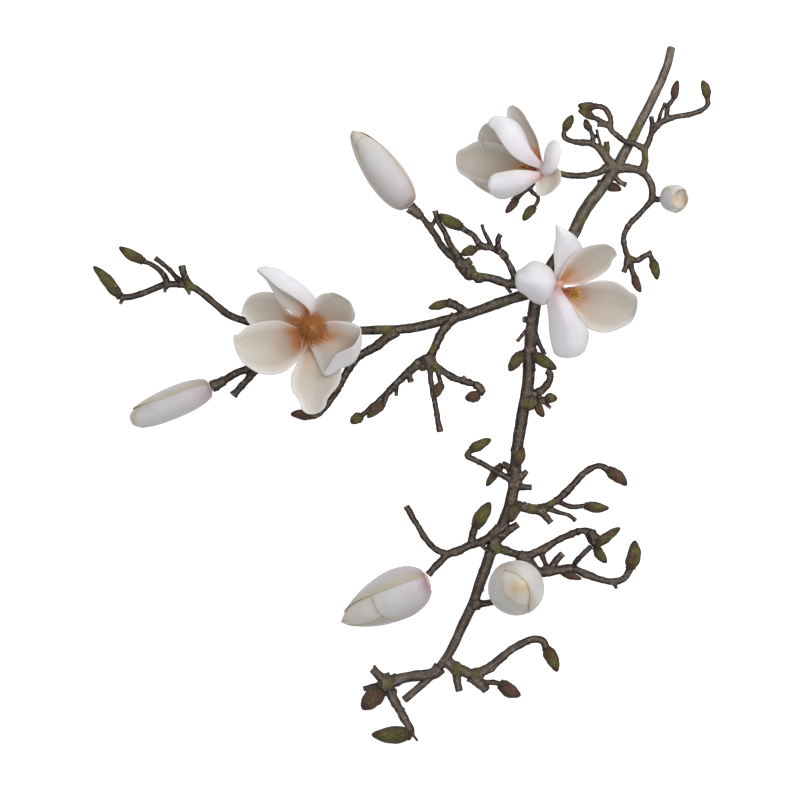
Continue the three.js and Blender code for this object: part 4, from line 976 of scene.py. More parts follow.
felt, tree = new_material("magnolia_bud_scale_felt")
grain = add(tree, "ShaderNodeAttribute", attribute_name="grain").outputs["Vector"]
rise, brown, upper = (
    add(tree, "ShaderNodeAttribute", attribute_name=trait).outputs["Fac"] for trait in FELT_TRAITS)
space = add(tree, "ShaderNodeTexCoord").outputs["Object"]
lying = add(tree, "ShaderNodeMapping", {"Vector": grain, "Scale": (1, 1, 0.16)})
hair = add(tree, "ShaderNodeTexNoise", {
    "Vector": lying.outputs["Vector"], "Scale": HAIR, "Detail": 3.0, "Roughness": 0.65})
blotch = add(tree, "ShaderNodeTexNoise", {"Vector": space, "Scale": BLOTCH, "Detail": 3.0})
green_scale, brown_scale = (
    add(tree, "ShaderNodeValToRGB", {"Fac": rise}, stops).outputs["Color"] for stops in (
        [(0.0, "#3b2a22"), (0.1, "#5a4636"), (0.2, "#5f5a34"), (0.65, "#74733f"),
         (0.9, "#5c4f30"), (1.0, "#2f2019")],
        [(0.0, "#3a2825"), (0.12, "#57423a"), (0.3, "#6b4b3e"), (0.7, "#705548"),
         (0.92, "#49352e"), (1.0, "#2c1e1b")]))
uneven = add(tree, "ShaderNodeMapRange", {
    "Value": blotch.outputs["Fac"], "From Min": 0.35, "From Max": 0.65, "To Min": -0.45,
    "To Max": 0.45})
patchy = add(tree, "ShaderNodeMath", {0: brown, 1: uneven.outputs[0]}, operation="ADD")
scale = tinted(tree, green_scale, [
    (patchy.outputs[0], 0.35, 0.65, 0.0, 1.0, brown_scale),
    (hair.outputs["Fac"], 0.38, 0.66, 0.6, 0.0, "#2a1f19"),
    (hair.outputs["Fac"], 0.6, 0.8, 0.0, 0.5, "#a89c74"),
    # painted shade on the side of each bud that faces down
    (upper, 0.9, 0.2, 0.1, 0.8, "#241a14")])
surface(tree, scale, 0.8, (hair.outputs["Fac"], 0.5 * MM, 0.8),
        Sheen_Weight=0.1, Specular_IOR_Level=0.14)
print("felt:", len(tree.nodes), "nodes")

# %% Grow the winter buds
BUD_SIDES = 30
BUD_RINGS = 34
BUD_SINK = 1.2
BUD_CLIMB = 2
BUD_TURNS = (1.1, 2.4)  # where the first bud's seam is, and how far on the next one's
SEAM_DEPTH = 0.14
SEAM_WIDTH = 0.004
LIP_HEIGHT = 0.06
LIP_PLACE = 0.02
LIP_WIDTH = 0.012
BUD_ROUGH = 0.14
BUD_ROUGH_PACE = (1.4, 4.5)
BUD_BOW = 0.1
BUD_LEAN = 0.06
BUD_PROFILE = [(0, 0.0), (0.015, 0.56), (0.05, 0.76), (0.085, 0.79), (0.115, 0.72), (0.16, 0.9),
               (0.25, 1.02), (0.4, 1.06), (0.58, 0.98), (0.74, 0.8), (0.87, 0.56), (0.95, 0.34),
               (1, 0.0)]


def winter_bud(bm, base, tip, width, turn, tint):
    """One bud scale, whose seam lies at turn; tint is how brown it is."""
    axis = tip - base
    way = Vector((0, 0, 1)).rotation_difference(axis.normalized())
    grain = bm.verts.layers.float_vector["grain"]
    rise, brown, upper = (bm.verts.layers.float[trait] for trait in FELT_TRAITS)
    around, along = BUD_ROUGH_PACE

    def place(u, v):
        angle = TURN * u
        share = (1 - math.cos(math.pi * v)) / 2
        plump = profile_at(BUD_PROFILE, share) * width / 2 * MM
        # the scale's seam: a groove up one side, and the edge beside it a little proud
        seam = math.sin((angle - turn) / 2) ** 2
        groove = SEAM_DEPTH * math.exp(-(seam / SEAM_WIDTH))
        lip = LIP_HEIGHT * math.exp(-((seam - LIP_PLACE) / LIP_WIDTH) ** 2)
        plump *= 1 - groove + lip
        spot = Vector((math.cos(angle) * around, math.sin(angle) * around, share * along + turn))
        plump *= 1 + BUD_ROUGH * noise.noise(spot)
        lean = BUD_BOW * math.sin(math.pi * share) + BUD_LEAN * share * share
        local = spoke(angle) * plump + spoke(turn) * width * MM * lean
        local.z = share * axis.length
        return base + way @ local

    made = rolled(bm, place, BUD_SIDES, BUD_RINGS)
    bmesh.ops.recalc_face_normals(bm, faces=faces_of(made))
    for vert in made:
        vert.normal_update()
        share = max(0.0, min(1.0, (vert.co - base).dot(axis) / axis.length_squared))
        vert[rise] = share
        vert[brown] = tint
        # how far the surface faces up, for the felt's painted shade
        vert[upper] = vert.normal.z
        vert[grain] = way.inverted() @ (vert.co - base)
        vert.co.z = max(vert.co.z, 0.0)


for name, (on, shoots) in SPRAYS.items():
    ends = [(drawn, curve) for drawn, curve in zip(shoots, curves[name]) if drawn["bud"]]
    if not ends:
        continue
    bm = new_form(*FELT_TRAITS)
    bm.verts.layers.float_vector.new("grain")
    first, onward = BUD_TURNS
    for number, (drawn, curve) in enumerate(ends):
        right, down, width, *climb = drawn["bud"]
        end = curve[-1]
        tip = at(right, down, end.z / MM + (climb[0] if climb else BUD_CLIMB))
        base = end - (tip - end).normalized() * BUD_SINK * MM
        winter_bud(bm, base, tip, width, first + onward * number, lumps.random())
    made = piece(name + "_winter_buds", bm, felt)
    print(made.name, len(ends), "buds")

# %% [markdown]
# ## Tepals
# A magnolia has no separate petals and sepals, only tepals: thick, waxy, cupped blades. The
# outer face is white with a faint lilac cast and flushed pink at the foot. The inner face is
# painted a darker grey-beige than the outer face, as painted shade for the cup's own shade,
# and lighter towards its rims and tip where that painted shade thins out; it turns to its own
# orange-brown where it meets the stamens. Light sinks a little way into a tepal, so both faces
# have some subsurface scattering. Veins fan out along the blade, so they follow the sheet's
# own UV map, where V runs from foot to tip.

# %% Two faces of a tepal
VEINS = (15.0, 1.6, 1)
VEIN_SCALE = 1.6
CLOUDS = 55.0  # clouds 18 mm across
FINE = 700.0  # a relief 1.4 mm across


def tepal_face(name, stops, cloud_tint, vein_tint, edge_tint, roughness):
    """stops colours the face from foot to tip, and the three tints lie over that."""
    material, tree = new_material(name)
    uv = add(tree, "ShaderNodeTexCoord").outputs["UV"]
    space = add(tree, "ShaderNodeTexCoord").outputs["Object"]
    part = add(tree, "ShaderNodeSeparateXYZ", {"Vector": uv})
    cloud = add(tree, "ShaderNodeTexNoise", {"Vector": space, "Scale": CLOUDS, "Detail": 3.0})
    fine = add(tree, "ShaderNodeTexNoise", {"Vector": space, "Scale": FINE, "Detail": 3.0})
    stretched = add(tree, "ShaderNodeMapping", {"Vector": uv, "Scale": VEINS})
    vein = add(tree, "ShaderNodeTexNoise", {
        "Vector": stretched.outputs["Vector"], "Scale": VEIN_SCALE, "Detail": 4.0,
        "Roughness": 0.55})
    # the colours from foot to tip run a little into each other
    astray, low_relief = (
        add(tree, "ShaderNodeMapRange", {
            "Value": value.outputs["Fac"], "From Min": low, "From Max": high, "To Min": least,
            "To Max": most}).outputs[0]
        for value, low, high, least, most in (
            (cloud, 0.3, 0.7, -0.03, 0.03), (fine, 0.0, 1.0, 0.0, 0.25)))
    up_blade = add(tree, "ShaderNodeMath", {0: part.outputs["Y"], 1: astray}, operation="ADD")
    colour = add(tree, "ShaderNodeValToRGB", {"Fac": up_blade.outputs[0]}, stops)
    # how far a place is from the middle of the blade, towards its sides or its tip
    side = add(tree, "ShaderNodeMath", {0: part.outputs["X"], 1: 0.5}, operation="SUBTRACT")
    side = add(tree, "ShaderNodeMath", {0: side.outputs[0]}, operation="ABSOLUTE")
    end = add(tree, "ShaderNodeMath", {0: part.outputs["Y"], 1: 0.5}, operation="SUBTRACT")
    edge = add(tree, "ShaderNodeMath", {0: side.outputs[0], 1: end.outputs[0]},
               operation="MAXIMUM")
    colour = tinted(tree, colour.outputs["Color"], [
        (cloud.outputs["Fac"], 0.42, 0.72, 0.0, 0.5, cloud_tint),
        (vein.outputs["Fac"], 0.44, 0.7, 0.0, 0.22, vein_tint),
        (edge.outputs[0], 0.3, 0.5, 0.0, 0.6, edge_tint)])
    height = add(tree, "ShaderNodeMath", {0: vein.outputs["Fac"], 1: low_relief},
                 operation="ADD")
    surface(tree, colour, roughness, (height.outputs[0], 0.5 * MM, 0.3),
            Subsurface_Weight=0.3, Subsurface_Radius=(0.004, 0.003, 0.0025),
            Subsurface_Scale=1.0, Specular_IOR_Level=0.35)
    return material


outer_face = tepal_face("tepal_wax_outer", [
    (0.0, "#b98d8f"), (0.1, "#d9c1c5"), (0.24, "#e1dbdf"), (0.6, "#e7e6ea"), (1.0, "#e9e8ea")],
    "#d6d4d7", "#d5d0d4", "#cfc9c0", 0.42)
# the grey-beige middle and the lighter rims and tip are painted shade of the cup; the orange-brown
# foot is the tepal's own colour
inner_face = tepal_face("tepal_wax_inner", [
    (0.0, "#c2641f"), (0.13, "#c87a3e"), (0.19, "#c1926f"), (0.27, "#c1ae9e"), (0.45, "#c2baae"),
    (0.72, "#cdc8c0"), (1.0, "#dddbd8")], "#bdb4a7", "#bbb2a6", "#edebe9", 0.5)
receptacle_skin = tepal_face("receptacle_skin", [
    (0.0, "#8a5a40"), (0.5, "#c08f78"), (1.0, "#cfa893")], "#b9826a", "#b9826a", "#cfa893", 0.6)
print("tepal faces:", outer_face.name, inner_face.name)

# %% [markdown]
# ## The open flowers
# Every tepal is drawn by its two edges, from its foot to its tip, and by how far its middle
# bulges out between them. A fine grid is bent to that, and a few gentle things that the
# drawing leaves out are added: a shallow trough along the middle, ripples that grow towards
# the edges, and a wavering of the whole blade. A Solidify modifier then gives the wall its
# thickness, and puts the inner material on the side that faces the stamens.

# %% The drawing of the open flowers


def tepal(left, right, bulge, peak=0.5, rounded=1.0):
    return {"left": left, "right": right, "bulge": bulge, "peak": peak, "round": rounded}


FLOWERS = {
    # spread open towards the viewer
    "flower_1": {
        "seat": {"place": [309, 330, 40], "radius": 6},
        "tepals": [
            tepal(  # lower left
                [[303, 330, 42], [281, 321, 46], [262, 322, 51],
                 [247, 327, 55], [238, 335, 59], [235, 345, 61]],
                [[308, 345, 42], [298, 360, 47], [282, 373, 52],
                 [262, 374, 56], [245, 364, 60], [235, 345, 61]],
                [0, 0, -9]),
            tepal(  # upper left
                [[303, 330, 39], [282, 329, 40], [263, 330, 43],
                 [251, 325, 48], [245, 317, 52], [243, 309, 54]],
                [[303, 320, 42], [288, 311, 48], [277, 295, 51],
                 [264, 292, 53], [251, 296, 54], [243, 309, 54]],
                [0, 0, -6]),
            tepal(  # top, a half tube that opens to the lower left
                [[303, 322, 46], [291, 312, 51], [281, 304, 55],
                 [274, 294, 59], [267, 281, 64], [257, 270.5, 68]],
                [[310, 322, 46], [309, 310, 60], [294, 298, 70],
                 [280, 290, 74], [269, 280, 73], [257, 270.5, 68]],
                [16, -15, -3]),
            tepal(  # upper right
                [[310, 322, 43], [311, 311, 50], [314, 302, 54],
                 [321, 295, 58], [331, 293, 61], [343, 297, 63]],
                [[317, 327, 41], [337, 326, 43], [350, 324, 48],
                 [355.5, 316, 57], [352, 305, 61], [343, 297, 63]],
                [0, 0, -7]),
            tepal(  # right, its lower edge rolled over
                [[309, 341, 43], [311, 348, 42], [314, 355, 41],
                 [317, 362, 41], [320, 368, 43], [323, 374, 48]],
                [[318, 324, 46], [341, 321, 58], [360.5, 328, 64],
                 [355, 344, 68], [336, 355, 61], [323, 374, 48]],
                [10, 14, -6], 0.7, 0),
            tepal(  # bottom
                [[303, 338, 40], [299, 358, 44], [292, 375, 48],
                 [292, 389, 51], [300, 402, 54], [314, 414, 56]],
                [[315, 338, 40], [330, 352, 44], [341, 369, 47],
                 [339, 384, 50], [328, 398, 54], [314, 414, 56]],
                [0, 0, -7]),
        ],
        "cone": {
            "foot": [309, 330.5, 46.4], "top": [313, 328, 61],
            "width": 17, "reach": 25, "spread": 82,
        },
    },
    # faces down to the right, its front tepal turned down
    "flower_2": {
        "seat": {"place": [558, 285, 48], "radius": 6},
        "tepals": [
            tepal(  # left, a deep spoon seen from behind
                [[557, 281, 50], [551, 270, 53], [543, 264, 55],
                 [532, 262, 56], [521.5, 269, 55], [515, 281.5, 53]],
                [[555, 289, 50], [551, 299, 53], [544, 305, 54],
                 [534, 303, 54], [523, 294, 54], [515, 281.5, 53]],
                [0, 0, 13]),
            tepal(  # top, with a curled point
                [[554, 281, 50], [554, 266, 54], [553, 252, 57], [555, 238, 60], [555, 225, 63]],
                [[564, 281, 45], [579, 265, 46], [582, 249, 52], [573, 235.5, 59], [555, 225, 63]],
                [0, 0, 4], 0.5, 0),
            tepal(  # upper right
                [[558, 280, 54], [562, 269, 60], [571, 257, 65],
                 [584, 248, 69], [599, 245, 72], [613, 250, 74]],
                [[565, 285, 50], [582, 284, 53], [598, 277, 58],
                 [608, 269, 63], [612, 260, 68], [613, 250, 74]],
                [0, 0, -7]),
            tepal(  # right
                [[564, 288, 52], [582, 284.5, 57], [599, 281, 60],
                 [616, 283, 63], [630, 293, 66], [636, 308, 66]],
                [[561, 292, 48], [574, 310, 49], [587, 328, 53],
                 [605, 333, 57], [625, 326, 62], [636, 308, 66]],
                [0, 0, -8]),
            tepal(  # bottom, its back to the viewer
                [[554, 289, 53], [547, 300, 58], [548, 317, 59],
                 [549, 333, 56], [552, 348, 52], [568, 358, 48]],
                [[561, 291, 56], [569, 303, 65], [578, 318, 63],
                 [588, 332, 58], [586, 347, 53], [568, 358, 48]],
                [0, 0, 8]),
        ],
        "cone": {
            "foot": [567, 289, 56], "top": [578, 297, 65], "width": 8, "reach": 10, "spread": 46,
        },
    },
    # half open, seen from the side, its mouth to the left
    "flower_3": {
        "seat": {"place": [541, 172, 46], "radius": 5.5},
        "tepals": [
            tepal(  # far wall, upper lobe
                [[539, 168, 44], [522, 148, 39], [506, 133, 36], [493, 124, 34], [480, 130, 30]],
                [[536, 172, 40], [515, 163, 22], [496, 157, 13.5], [481, 148, 16], [480, 130, 30]],
                [0, 0, -4]),
            tepal(  # far wall, the long lobe
                [[538, 170, 42], [517, 152, 30], [496, 142, 22],
                 [476, 141, 18], [463, 148, 18], [456, 160, 19]],
                [[538, 174, 42], [517, 186, 30], [498, 190, 22],
                 [480, 185, 19], [464, 175, 18], [456, 160, 19]],
                [0, 0, -8]),
            tepal(  # far wall, lower lobe
                [[537, 173, 38], [516, 179, 22], [497, 181, 16], [483, 179, 17], [471, 179, 24]],
                [[539, 177, 46], [520, 191, 42], [503, 198, 37], [487, 192, 31], [471, 179, 24]],
                [0, 3, -4]),
            tepal(  # near wall, above
                [[541, 166, 48], [530, 149, 51], [524, 134, 53],
                 [515, 122, 55], [502, 117.5, 59], [489, 121, 64]],
                [[540, 170, 51], [525, 165, 63], [511, 157, 70],
                 [500, 143, 73], [493, 131, 70], [489, 121, 64]],
                [3, -4, 7]),
            tepal(  # behind it, with its edge turned out
                [[539, 166, 44], [527, 151, 43], [515, 134, 43], [508, 121, 44], [512, 106, 49]],
                [[542, 166, 47], [539, 150, 52], [536, 138, 57], [528, 123, 58], [512, 106, 49]],
                [4, -1, -7], 0.6),
            tepal(  # near wall, below
                [[540, 173, 51], [525, 171, 63], [511, 171.5, 69], [498, 174, 70], [488, 188, 64]],
                [[541, 177, 48], [530, 186, 50], [519, 194, 51], [503, 200, 54], [488, 188, 64]],
                [0, 4, 6]),
            tepal(  # bent back, above
                [[540, 172, 51], [543, 163, 53], [544, 155, 55], [554, 141, 59]],
                [[544, 176, 52], [555, 171, 61], [560, 156, 63], [554, 141, 59]],
                [0, 0, 4]),
            tepal(  # bent back, below
                [[540, 175, 49], [535, 182, 50], [536, 189, 51], [545, 196, 54]],
                [[546, 172, 50], [558, 169, 53], [560.5, 181, 55], [545, 196, 54]],
                [0, 0, -4]),
        ],
        "cone": {
            "foot": [535.5, 171.2, 46.6], "top": [520, 167, 46],
            "width": 8, "reach": 12, "spread": 40,
        },
    },
}

print("flowers:", {name: len(flower["tepals"]) for name, flower in FLOWERS.items()})

# %% Bend the tepals
ROOT = 0.35
FADE = 0.55
LAST = 0.992
ROWS = 50
COLUMNS = 30
WALL = 0.95 * MM
TROUGH = 0.22 * MM
RIPPLE = 0.7 * MM
WAVER = 0.9 * MM
TROUGH_WIDTH = 0.1
RIPPLE_SCALE = 5.5
WAVER_SCALE = (2.2, 2.6)
FOOT_HOLD = 2.5
TIP_HOLD = 6
RIDGES = 9
RIDGE_HEIGHT = 0.05
KNOB_GRID = (36, 20)
TIP = [(0.45, 0.83), (0.12, 0.47)]  # how far back from the tip, and how wide the tepal is there
TIP_ROWS = 1.4  # more than 1 crowds the rows towards the tip


def tepal_sheet(bm, drawn, seat, seed):
    """One bent grid, its faces turned so that they point out of the flower."""
    foot = at(*seat)
    routes = [[at(*place) for place in drawn[side]] for side in ("left", "right")]
    middle = routes[0][-2].lerp(routes[1][-2], 0.5)
    edges = []
    for route in routes:
        *rest, near, tip = route
        rounding = []
        for back, wide in TIP:
            blunt = tip.lerp(middle, back) + (near - middle) * wide
            rounding.append(tip.lerp(near, back).lerp(blunt, drawn["round"]))
        edge = smooth_route([foot.lerp(route[0], ROOT), *rest, near, *rounding, tip])
        edges.append(spaced(edge, 2 * ROWS))
    left, right = edges
    right_way, down, up = drawn["bulge"]
    bulge = Vector((right_way, -down, up)) * MM
    out = bulge.normalized()
    lean = math.log(0.5) / math.log(drawn["peak"])

    def place(u, v):
        v = (1 - (1 - v) ** TIP_ROWS) * LAST
        swell = math.sin(math.pi * v) ** FADE if v > 0 else 0
        arch = math.sin(math.pi * min(u ** lean, 1))
        here = between(left, v).lerp(between(right, v), u) + bulge * swell * arch
        rim = abs(2 * u - 1)
        free = min(1.0, v * FOOT_HOLD) * (1 - v ** TIP_HOLD)
        ripple = noise.noise(Vector((seed, v * RIPPLE_SCALE, 2.0 if u > 0.5 else 9.0)))
        across, along = WAVER_SCALE
        waver = noise.noise(Vector((u * across, v * along, seed * 3.1)))
        wave = RIPPLE * rim ** 3 * ripple + WAVER * waver
        wave += TROUGH * math.exp(-((u - 0.5) / TROUGH_WIDTH) ** 2)
        return here + out * wave * free

    faces = faces_of(bent_sheet(bm, place, COLUMNS, ROWS))
    facing = sum((face.normal * face.calc_area() for face in faces), Vector())
    if facing.dot(bulge) < 0:
        bmesh.ops.reverse_faces(bm, faces=faces)


def receptacle(name, seat):
    """The knob at the end of the stalk that the tepals grow from."""
    bm = new_form()
    centre, size = at(*seat["place"]), seat["radius"] * MM

    def place(u, v):
        turn, fall = TURN * u, math.pi * v
        ridge = 1 + RIDGE_HEIGHT * math.cos(RIDGES * turn) * math.sin(fall)
        return centre + on_ball(turn, fall) * Vector((ridge, ridge, 1)) * size

    rolled(bm, place, *KNOB_GRID)
    piece(name, bm, receptacle_skin)


for name, flower in FLOWERS.items():
    bm = new_form()
    for number, drawn in enumerate(flower["tepals"]):
        tepal_sheet(bm, drawn, flower["seat"]["place"], number + len(name) * 0.37)
    made = blades(name + "_blades", bm, outer_face, inner_face, WALL, name + "_tepals")
    receptacle(name + "_receptacle", flower["seat"])
    print(made.name, len(flower["tepals"]), "tepals")

# %% [markdown]
# ## Stamens and pistils
# In the middle stands a short cone. Its upper part is the pistils, small yellow-green hooks
# that overlap like scales. Round its foot the stamens stand in a tight spiral, each one turned
# from the last by the golden angle of 137.5 degrees. A stamen is a flat strap that ends in a
# point, pinkish brown at its foot and orange-yellow where the pollen sits.

# %% Stamen and pistil colours
POLLEN = 900.0  # grains 1.1 mm across, coarser than real ones so that they show


def spike_skin(name, stops, dark, roughness):
    """stops colours each stamen or pistil from foot to tip, dark lies between its grains."""
    material, tree = new_material(name)
    rise = add(tree, "ShaderNodeAttribute", attribute_name="rise").outputs["Fac"]
    space = add(tree, "ShaderNodeTexCoord").outputs["Object"]
    pollen = add(tree, "ShaderNodeTexNoise", {"Vector": space, "Scale": POLLEN, "Detail": 4.0})
    bright = add(tree, "ShaderNodeValToRGB", {"Fac": rise}, stops)
    colour = tinted(tree, bright.outputs["Color"], [
        (pollen.outputs["Fac"], 0.4, 0.7, 0.0, 0.6, dark)])
    surface(tree, colour, roughness, (pollen.outputs["Fac"], 0.4 * MM, 0.7),
            Subsurface_Weight=0.1, Subsurface_Radius=(0.002, 0.001, 0.0005))
    return material


stamen_skin = spike_skin("stamen_pollen_sacs", [
    (0.0, "#8c5337"), (0.35, "#aa663a"), (0.7, "#bd7a44"), (1.0, "#cc9460")], "#a3643c", 0.7)
pistil_skin = spike_skin("pistil_skin", [
    (0.0, "#c08728"), (0.6, "#e0a83a"), (1.0, "#f0cc66")], "#b57e2a", 0.6)
print("spike skins:", stamen_skin.name, pistil_skin.name)

# %% Set the stamens and pistils
GOLDEN_ANGLE = 137.508
CONE_PROFILE = [(0, 0.0), (0.001, 0.75), (0.3, 1.0), (0.75, 0.7), (1, 0.0)]
CONE_CORE = 0.86
CONE_GRID = (24, 16)
SPIKE_TAPER = 0.45
SPIKE_FLAT = 0.62
STAMEN_FEET = (0.04, 0.6)
STAMEN_LEAN = 5
STAMEN_LONG = (0.85, 1.02)
STAMEN_THICK = 1.9
STAMEN_GIRTH = (0.85, 1.15)
STAMEN_HOOK = 0.12
INNER_UPRIGHT = 0.78
INNER_SHORT = 0.64
PISTIL_FEET = (0.42, 0.56)
PISTIL_SEAT = 0.8
PISTIL_OUT = (1.1, 0.9)
PISTIL_RISE = 0.75
PISTIL_HOOK = 1.3
PISTIL_LONG = 4.4
PISTIL_SHORT = 0.3
PISTIL_THICK = 1.7
PISTIL_GRID = (6, 7)
jitter = random.Random(11)


def spike(bm, foot, way, length, thick, hook, around=7, along=9):
    """One small tapered horn that bends by hook, a length and direction, towards its end."""
    rise = bm.verts.layers.float["rise"]
    side = way.orthogonal().normalized()
    up = way.cross(side)

    def place(u, v):
        turn = TURN * u
        round_end = math.sqrt(max(0.0, 1 - (2 * v - 1) ** 6)) * (1 - SPIKE_TAPER * v)
        radius = thick / 2 * round_end * MM
        centre = foot + way * v * length * MM + hook * v * v
        return centre + (side * math.cos(turn) + up * SPIKE_FLAT * math.sin(turn)) * radius

    for vert in rolled(bm, place, around, along):
        vert[rise] = max(0.0, min(1.0, (vert.co - foot).dot(way) / (length * MM)))


def flower_cone(name, drawn, stamens, pistils):
    """The cone of one flower: so many stamens round its foot and so many pistils above."""
    foot, top = at(*drawn["foot"]), at(*drawn["top"])
    axis = top - foot
    way = Vector((0, 0, 1)).rotation_difference(axis.normalized())
    bm = new_form("rise")

    def core(u, v):
        radius = profile_at(CONE_PROFILE, v) * drawn["width"] / 2 * CONE_CORE * MM
        return foot + way @ (spoke(TURN * u) * radius + Vector((0, 0, v * axis.length)))

    rolled(bm, core, *CONE_GRID)
    for i in range(stamens):
        share = i / stamens
        turn = math.radians(GOLDEN_ANGLE * i)
        lean = jitter.uniform(-STAMEN_LEAN, STAMEN_LEAN)
        slope = math.radians(drawn["spread"] * (1 - INNER_UPRIGHT * share) + lean)
        out = way @ on_ball(turn, math.pi - slope)
        start = foot + axis * (STAMEN_FEET[0] + STAMEN_FEET[1] * share)
        long = drawn["reach"] * (1 - INNER_SHORT * share) * jitter.uniform(*STAMEN_LONG)
        inward = (axis.normalized() - out) * STAMEN_HOOK * long * MM
        spike(bm, start, out, long, STAMEN_THICK * jitter.uniform(*STAMEN_GIRTH), inward)
    made = piece(name + "_stamen_ring", bm, stamen_skin, name + "_stamens")

    bm = new_form("rise")
    for i in range(pistils):
        share = (i + 0.5) / pistils
        turn = math.radians(GOLDEN_ANGLE * i)
        height = PISTIL_FEET[0] + PISTIL_FEET[1] * share
        radius = profile_at(CONE_PROFILE, height) * drawn["width"] / 2 * PISTIL_SEAT * MM
        flat = spoke(turn)
        start = foot + way @ (flat * radius) + axis * height
        flare = PISTIL_OUT[0] - PISTIL_OUT[1] * share
        out = (way @ (flat * flare + Vector((0, 0, PISTIL_RISE)))).normalized()
        hook = way @ flat * PISTIL_HOOK * MM * (1 - share)
        long = PISTIL_LONG * (1 - PISTIL_SHORT * share)
        spike(bm, start, out, long, PISTIL_THICK, hook, *PISTIL_GRID)
    piece(name + "_pistils", bm, pistil_skin)
    print(made.name, stamens, "stamens and", pistils, "pistils")


for name, (stamens, pistils) in {
        "flower_1": (300, 110), "flower_2": (110, 30), "flower_3": (60, 14)}.items():
    flower_cone(name, FLOWERS[name]["cone"], stamens, pistils)

# %% [markdown]
# ## Flower buds
# A flower bud that is about to open is a tight roll of tepals. The inner ones are one smooth
# core here, closed at both ends. Round it lie two or three outer tepals, each with one edge
# tucked under the next, so the seams run round the bud in a spiral, and each ends a little
# short of the tip.

# %% The drawing of the flower buds


def closed(base, tip, width, wraps, full, blunt=5, half=82, mouth=0.0):
    """wraps has, for each outer tepal, the direction it faces in degrees and where it ends.
    half is the angle from its middle to its edges, and mouth is how far the core is sunk
    into a bud that has begun to open."""
    return {"base": base, "tip": tip, "width": width, "wraps": wraps, "full": full,
            "blunt": blunt, "half": half, "mouth": mouth}


BUDS = {
    "bud_1": closed([410, 207, 36], [352, 131, 44], 36.4,
                    [(72, 0.9), (192, 0.99), (312, 0.96)], [0.4, 0.65]),
    "bud_2": closed([211, 386.5, 22], [130, 421, 24], 30.4,
                    [(100, 0.97), (340, 0.93), (220, 0.95)], [0.3, 0.32]),
    "bud_3": closed([429, 579, 31], [341, 622.5, 33], 50,
                    [(86, 0.62), (205, 0.97), (338, 0.93)], [0.44, 0.78], 3, 92),
    "bud_4": closed([515, 588.5, 38], [516, 585.5, 104], 54.5,
                    [(325, 0.965), (145, 0.93)], [0.5, 0.55], 10, 97),
    "bud_5": closed([667, 198.5, 18], [682.5, 198, 44.5], 27,
                    [(120, 0.84), (215, 0.9), (335, 0.92)], [0.5, 0.55], 12, 82, 0.14),
}

print("flower buds:", ", ".join(BUDS))

# %% Faces of the wrapped tepals
bud_face = tepal_face("bud_tepal_wax", [
    (0.0, "#a8898c"), (0.05, "#c2adb2"), (0.14, "#cbc3c5"), (0.5, "#d2cecd"), (0.86, "#d6d1c9"),
    (1.0, "#c8b284")], "#bdb6af", "#cbc2be", "#bba676", 0.42)
bud_inside = tepal_face("bud_tepal_wax_inner", [
    (0.0, "#b98f72"), (0.5, "#c4b08c"), (1.0, "#c2a868")],
    "#b9a583", "#b09a70", "#cbb377", 0.5)
open_core = tepal_face("bud_mouth", [
    (0.0, "#cfc6c8"), (0.8, "#cfc8bd"), (0.9, "#d2c6a4"), (1.0, "#c79f5e")],
    "#d2c8b2", "#cdb88a", "#ccb09c", 0.5)
print("bud faces:", bud_face.name, bud_inside.name, open_core.name)

# %% Wrap the flower buds
CORE_DEEP = 0.5
WRAP_LIFT = (0.05, 0.75)
WRAP_FROM = 0.03
BUD_WALL = 0.5 * MM
BUD_UNEVEN = 0.6
BUD_LUMPS = (1.3, 2.4)
BUD_SEED = 3.3
THIN_END = 5
MOUTH_FROM = 0.8
CORE_GRID = (48, 60)
WRAP_GRID = (40, 52)


def fullness(full, along):
    """The width of a bud so far along it, as a share of its greatest width."""
    blunt, sharp = full
    widest = blunt / (blunt + sharp)
    most = widest ** blunt * (1 - widest) ** sharp
    along = min(max(along, 0.0), 1.0)
    return along ** blunt * (1 - along) ** sharp / most


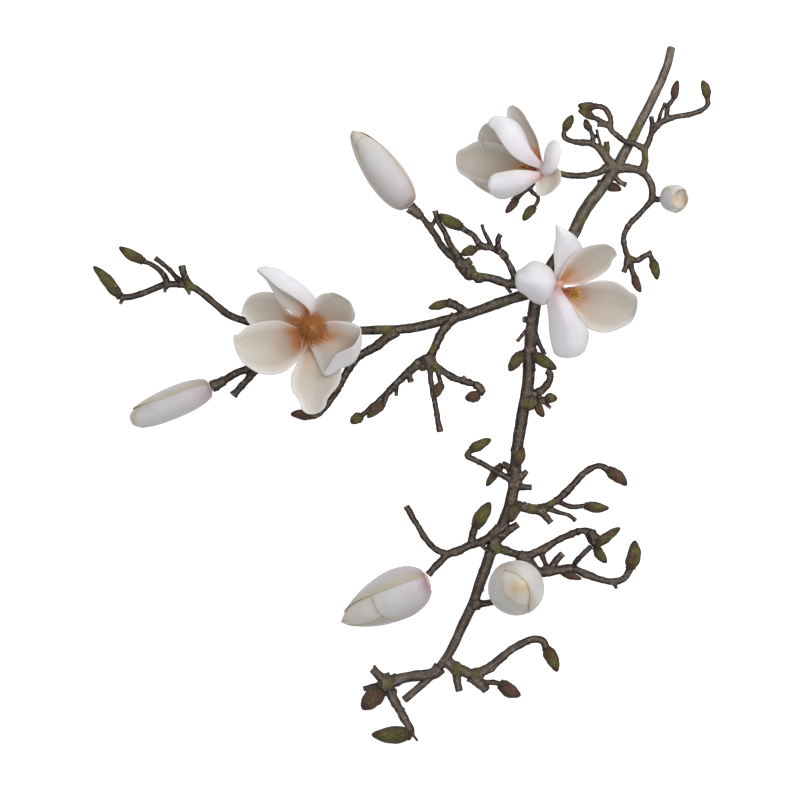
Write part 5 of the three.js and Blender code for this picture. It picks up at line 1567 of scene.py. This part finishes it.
def flower_bud(name, drawn, seed):
    """One closed flower: its core, and its outer tepals as a piece of their own."""
    start, end = at(*drawn["base"]), at(*drawn["tip"])
    axis = end - start
    way = Vector((0, 1, 0)).rotation_difference(axis.normalized())

    def skin(angle, along, lift):
        """A place on the bud, raised by lift millimetres above its smooth form."""
        flat = Vector((math.cos(angle), 0, math.sin(angle)))
        around, onward = BUD_LUMPS
        spot = Vector((flat.x * around, flat.z * around, along * onward + seed))
        lift += BUD_UNEVEN * noise.noise(spot)
        radius = fullness(drawn["full"], along) * drawn["width"] / 2
        local = flat * (radius + lift * min(1, radius / THIN_END)) * MM
        local.y = along * axis.length
        return start + way @ local

    def core(u, v):
        """The core of an open bud turns in at its mouth and closes further down."""
        depth = drawn["mouth"]
        along = (1 - math.cos(math.pi * v)) / 2
        if not depth or along < MOUTH_FROM:
            return skin(-TURN * u, along, -CORE_DEEP)
        inner = (along - MOUTH_FROM) / (1 - MOUTH_FROM)
        rim = fullness(drawn["full"], MOUTH_FROM) * drawn["width"] / 2
        along = MOUTH_FROM - depth * math.sin(inner * math.pi / 2)
        wall = fullness(drawn["full"], along) * drawn["width"] / 2
        return skin(-TURN * u, along, rim * (1 - inner) - wall)

    bm = new_form()
    rolled(bm, core, *CORE_GRID)
    core_piece = piece(name + "_core", bm, open_core if drawn["mouth"] else bud_face)

    bm = new_form()
    for facing, last in drawn["wraps"]:
        middle = math.radians(facing)

        def wrapped(u, v):
            v = math.sin(v * math.pi / 2) * LAST
            along = WRAP_FROM + (last - WRAP_FROM) * v
            narrow = math.sqrt(1 - v ** drawn["blunt"])
            angle = middle + math.radians(drawn["half"]) * narrow * (2 * u - 1)
            return skin(angle, along, WRAP_LIFT[0] + (WRAP_LIFT[1] - WRAP_LIFT[0]) * u)

        faces = faces_of(bent_sheet(bm, wrapped, *WRAP_GRID))
        centre = start.lerp(end, 0.5)
        outward = sum((face.calc_center_median() - centre).dot(face.normal) for face in faces)
        if outward < 0:
            bmesh.ops.reverse_faces(bm, faces=faces)
    made = blades(name + "_wraps", bm, bud_face, bud_inside, BUD_WALL, name + "_tepals")
    print(made.name, "round", core_piece.name)


for number, (name, drawn) in enumerate(BUDS.items()):
    flower_bud(name, drawn, BUD_SEED * number)
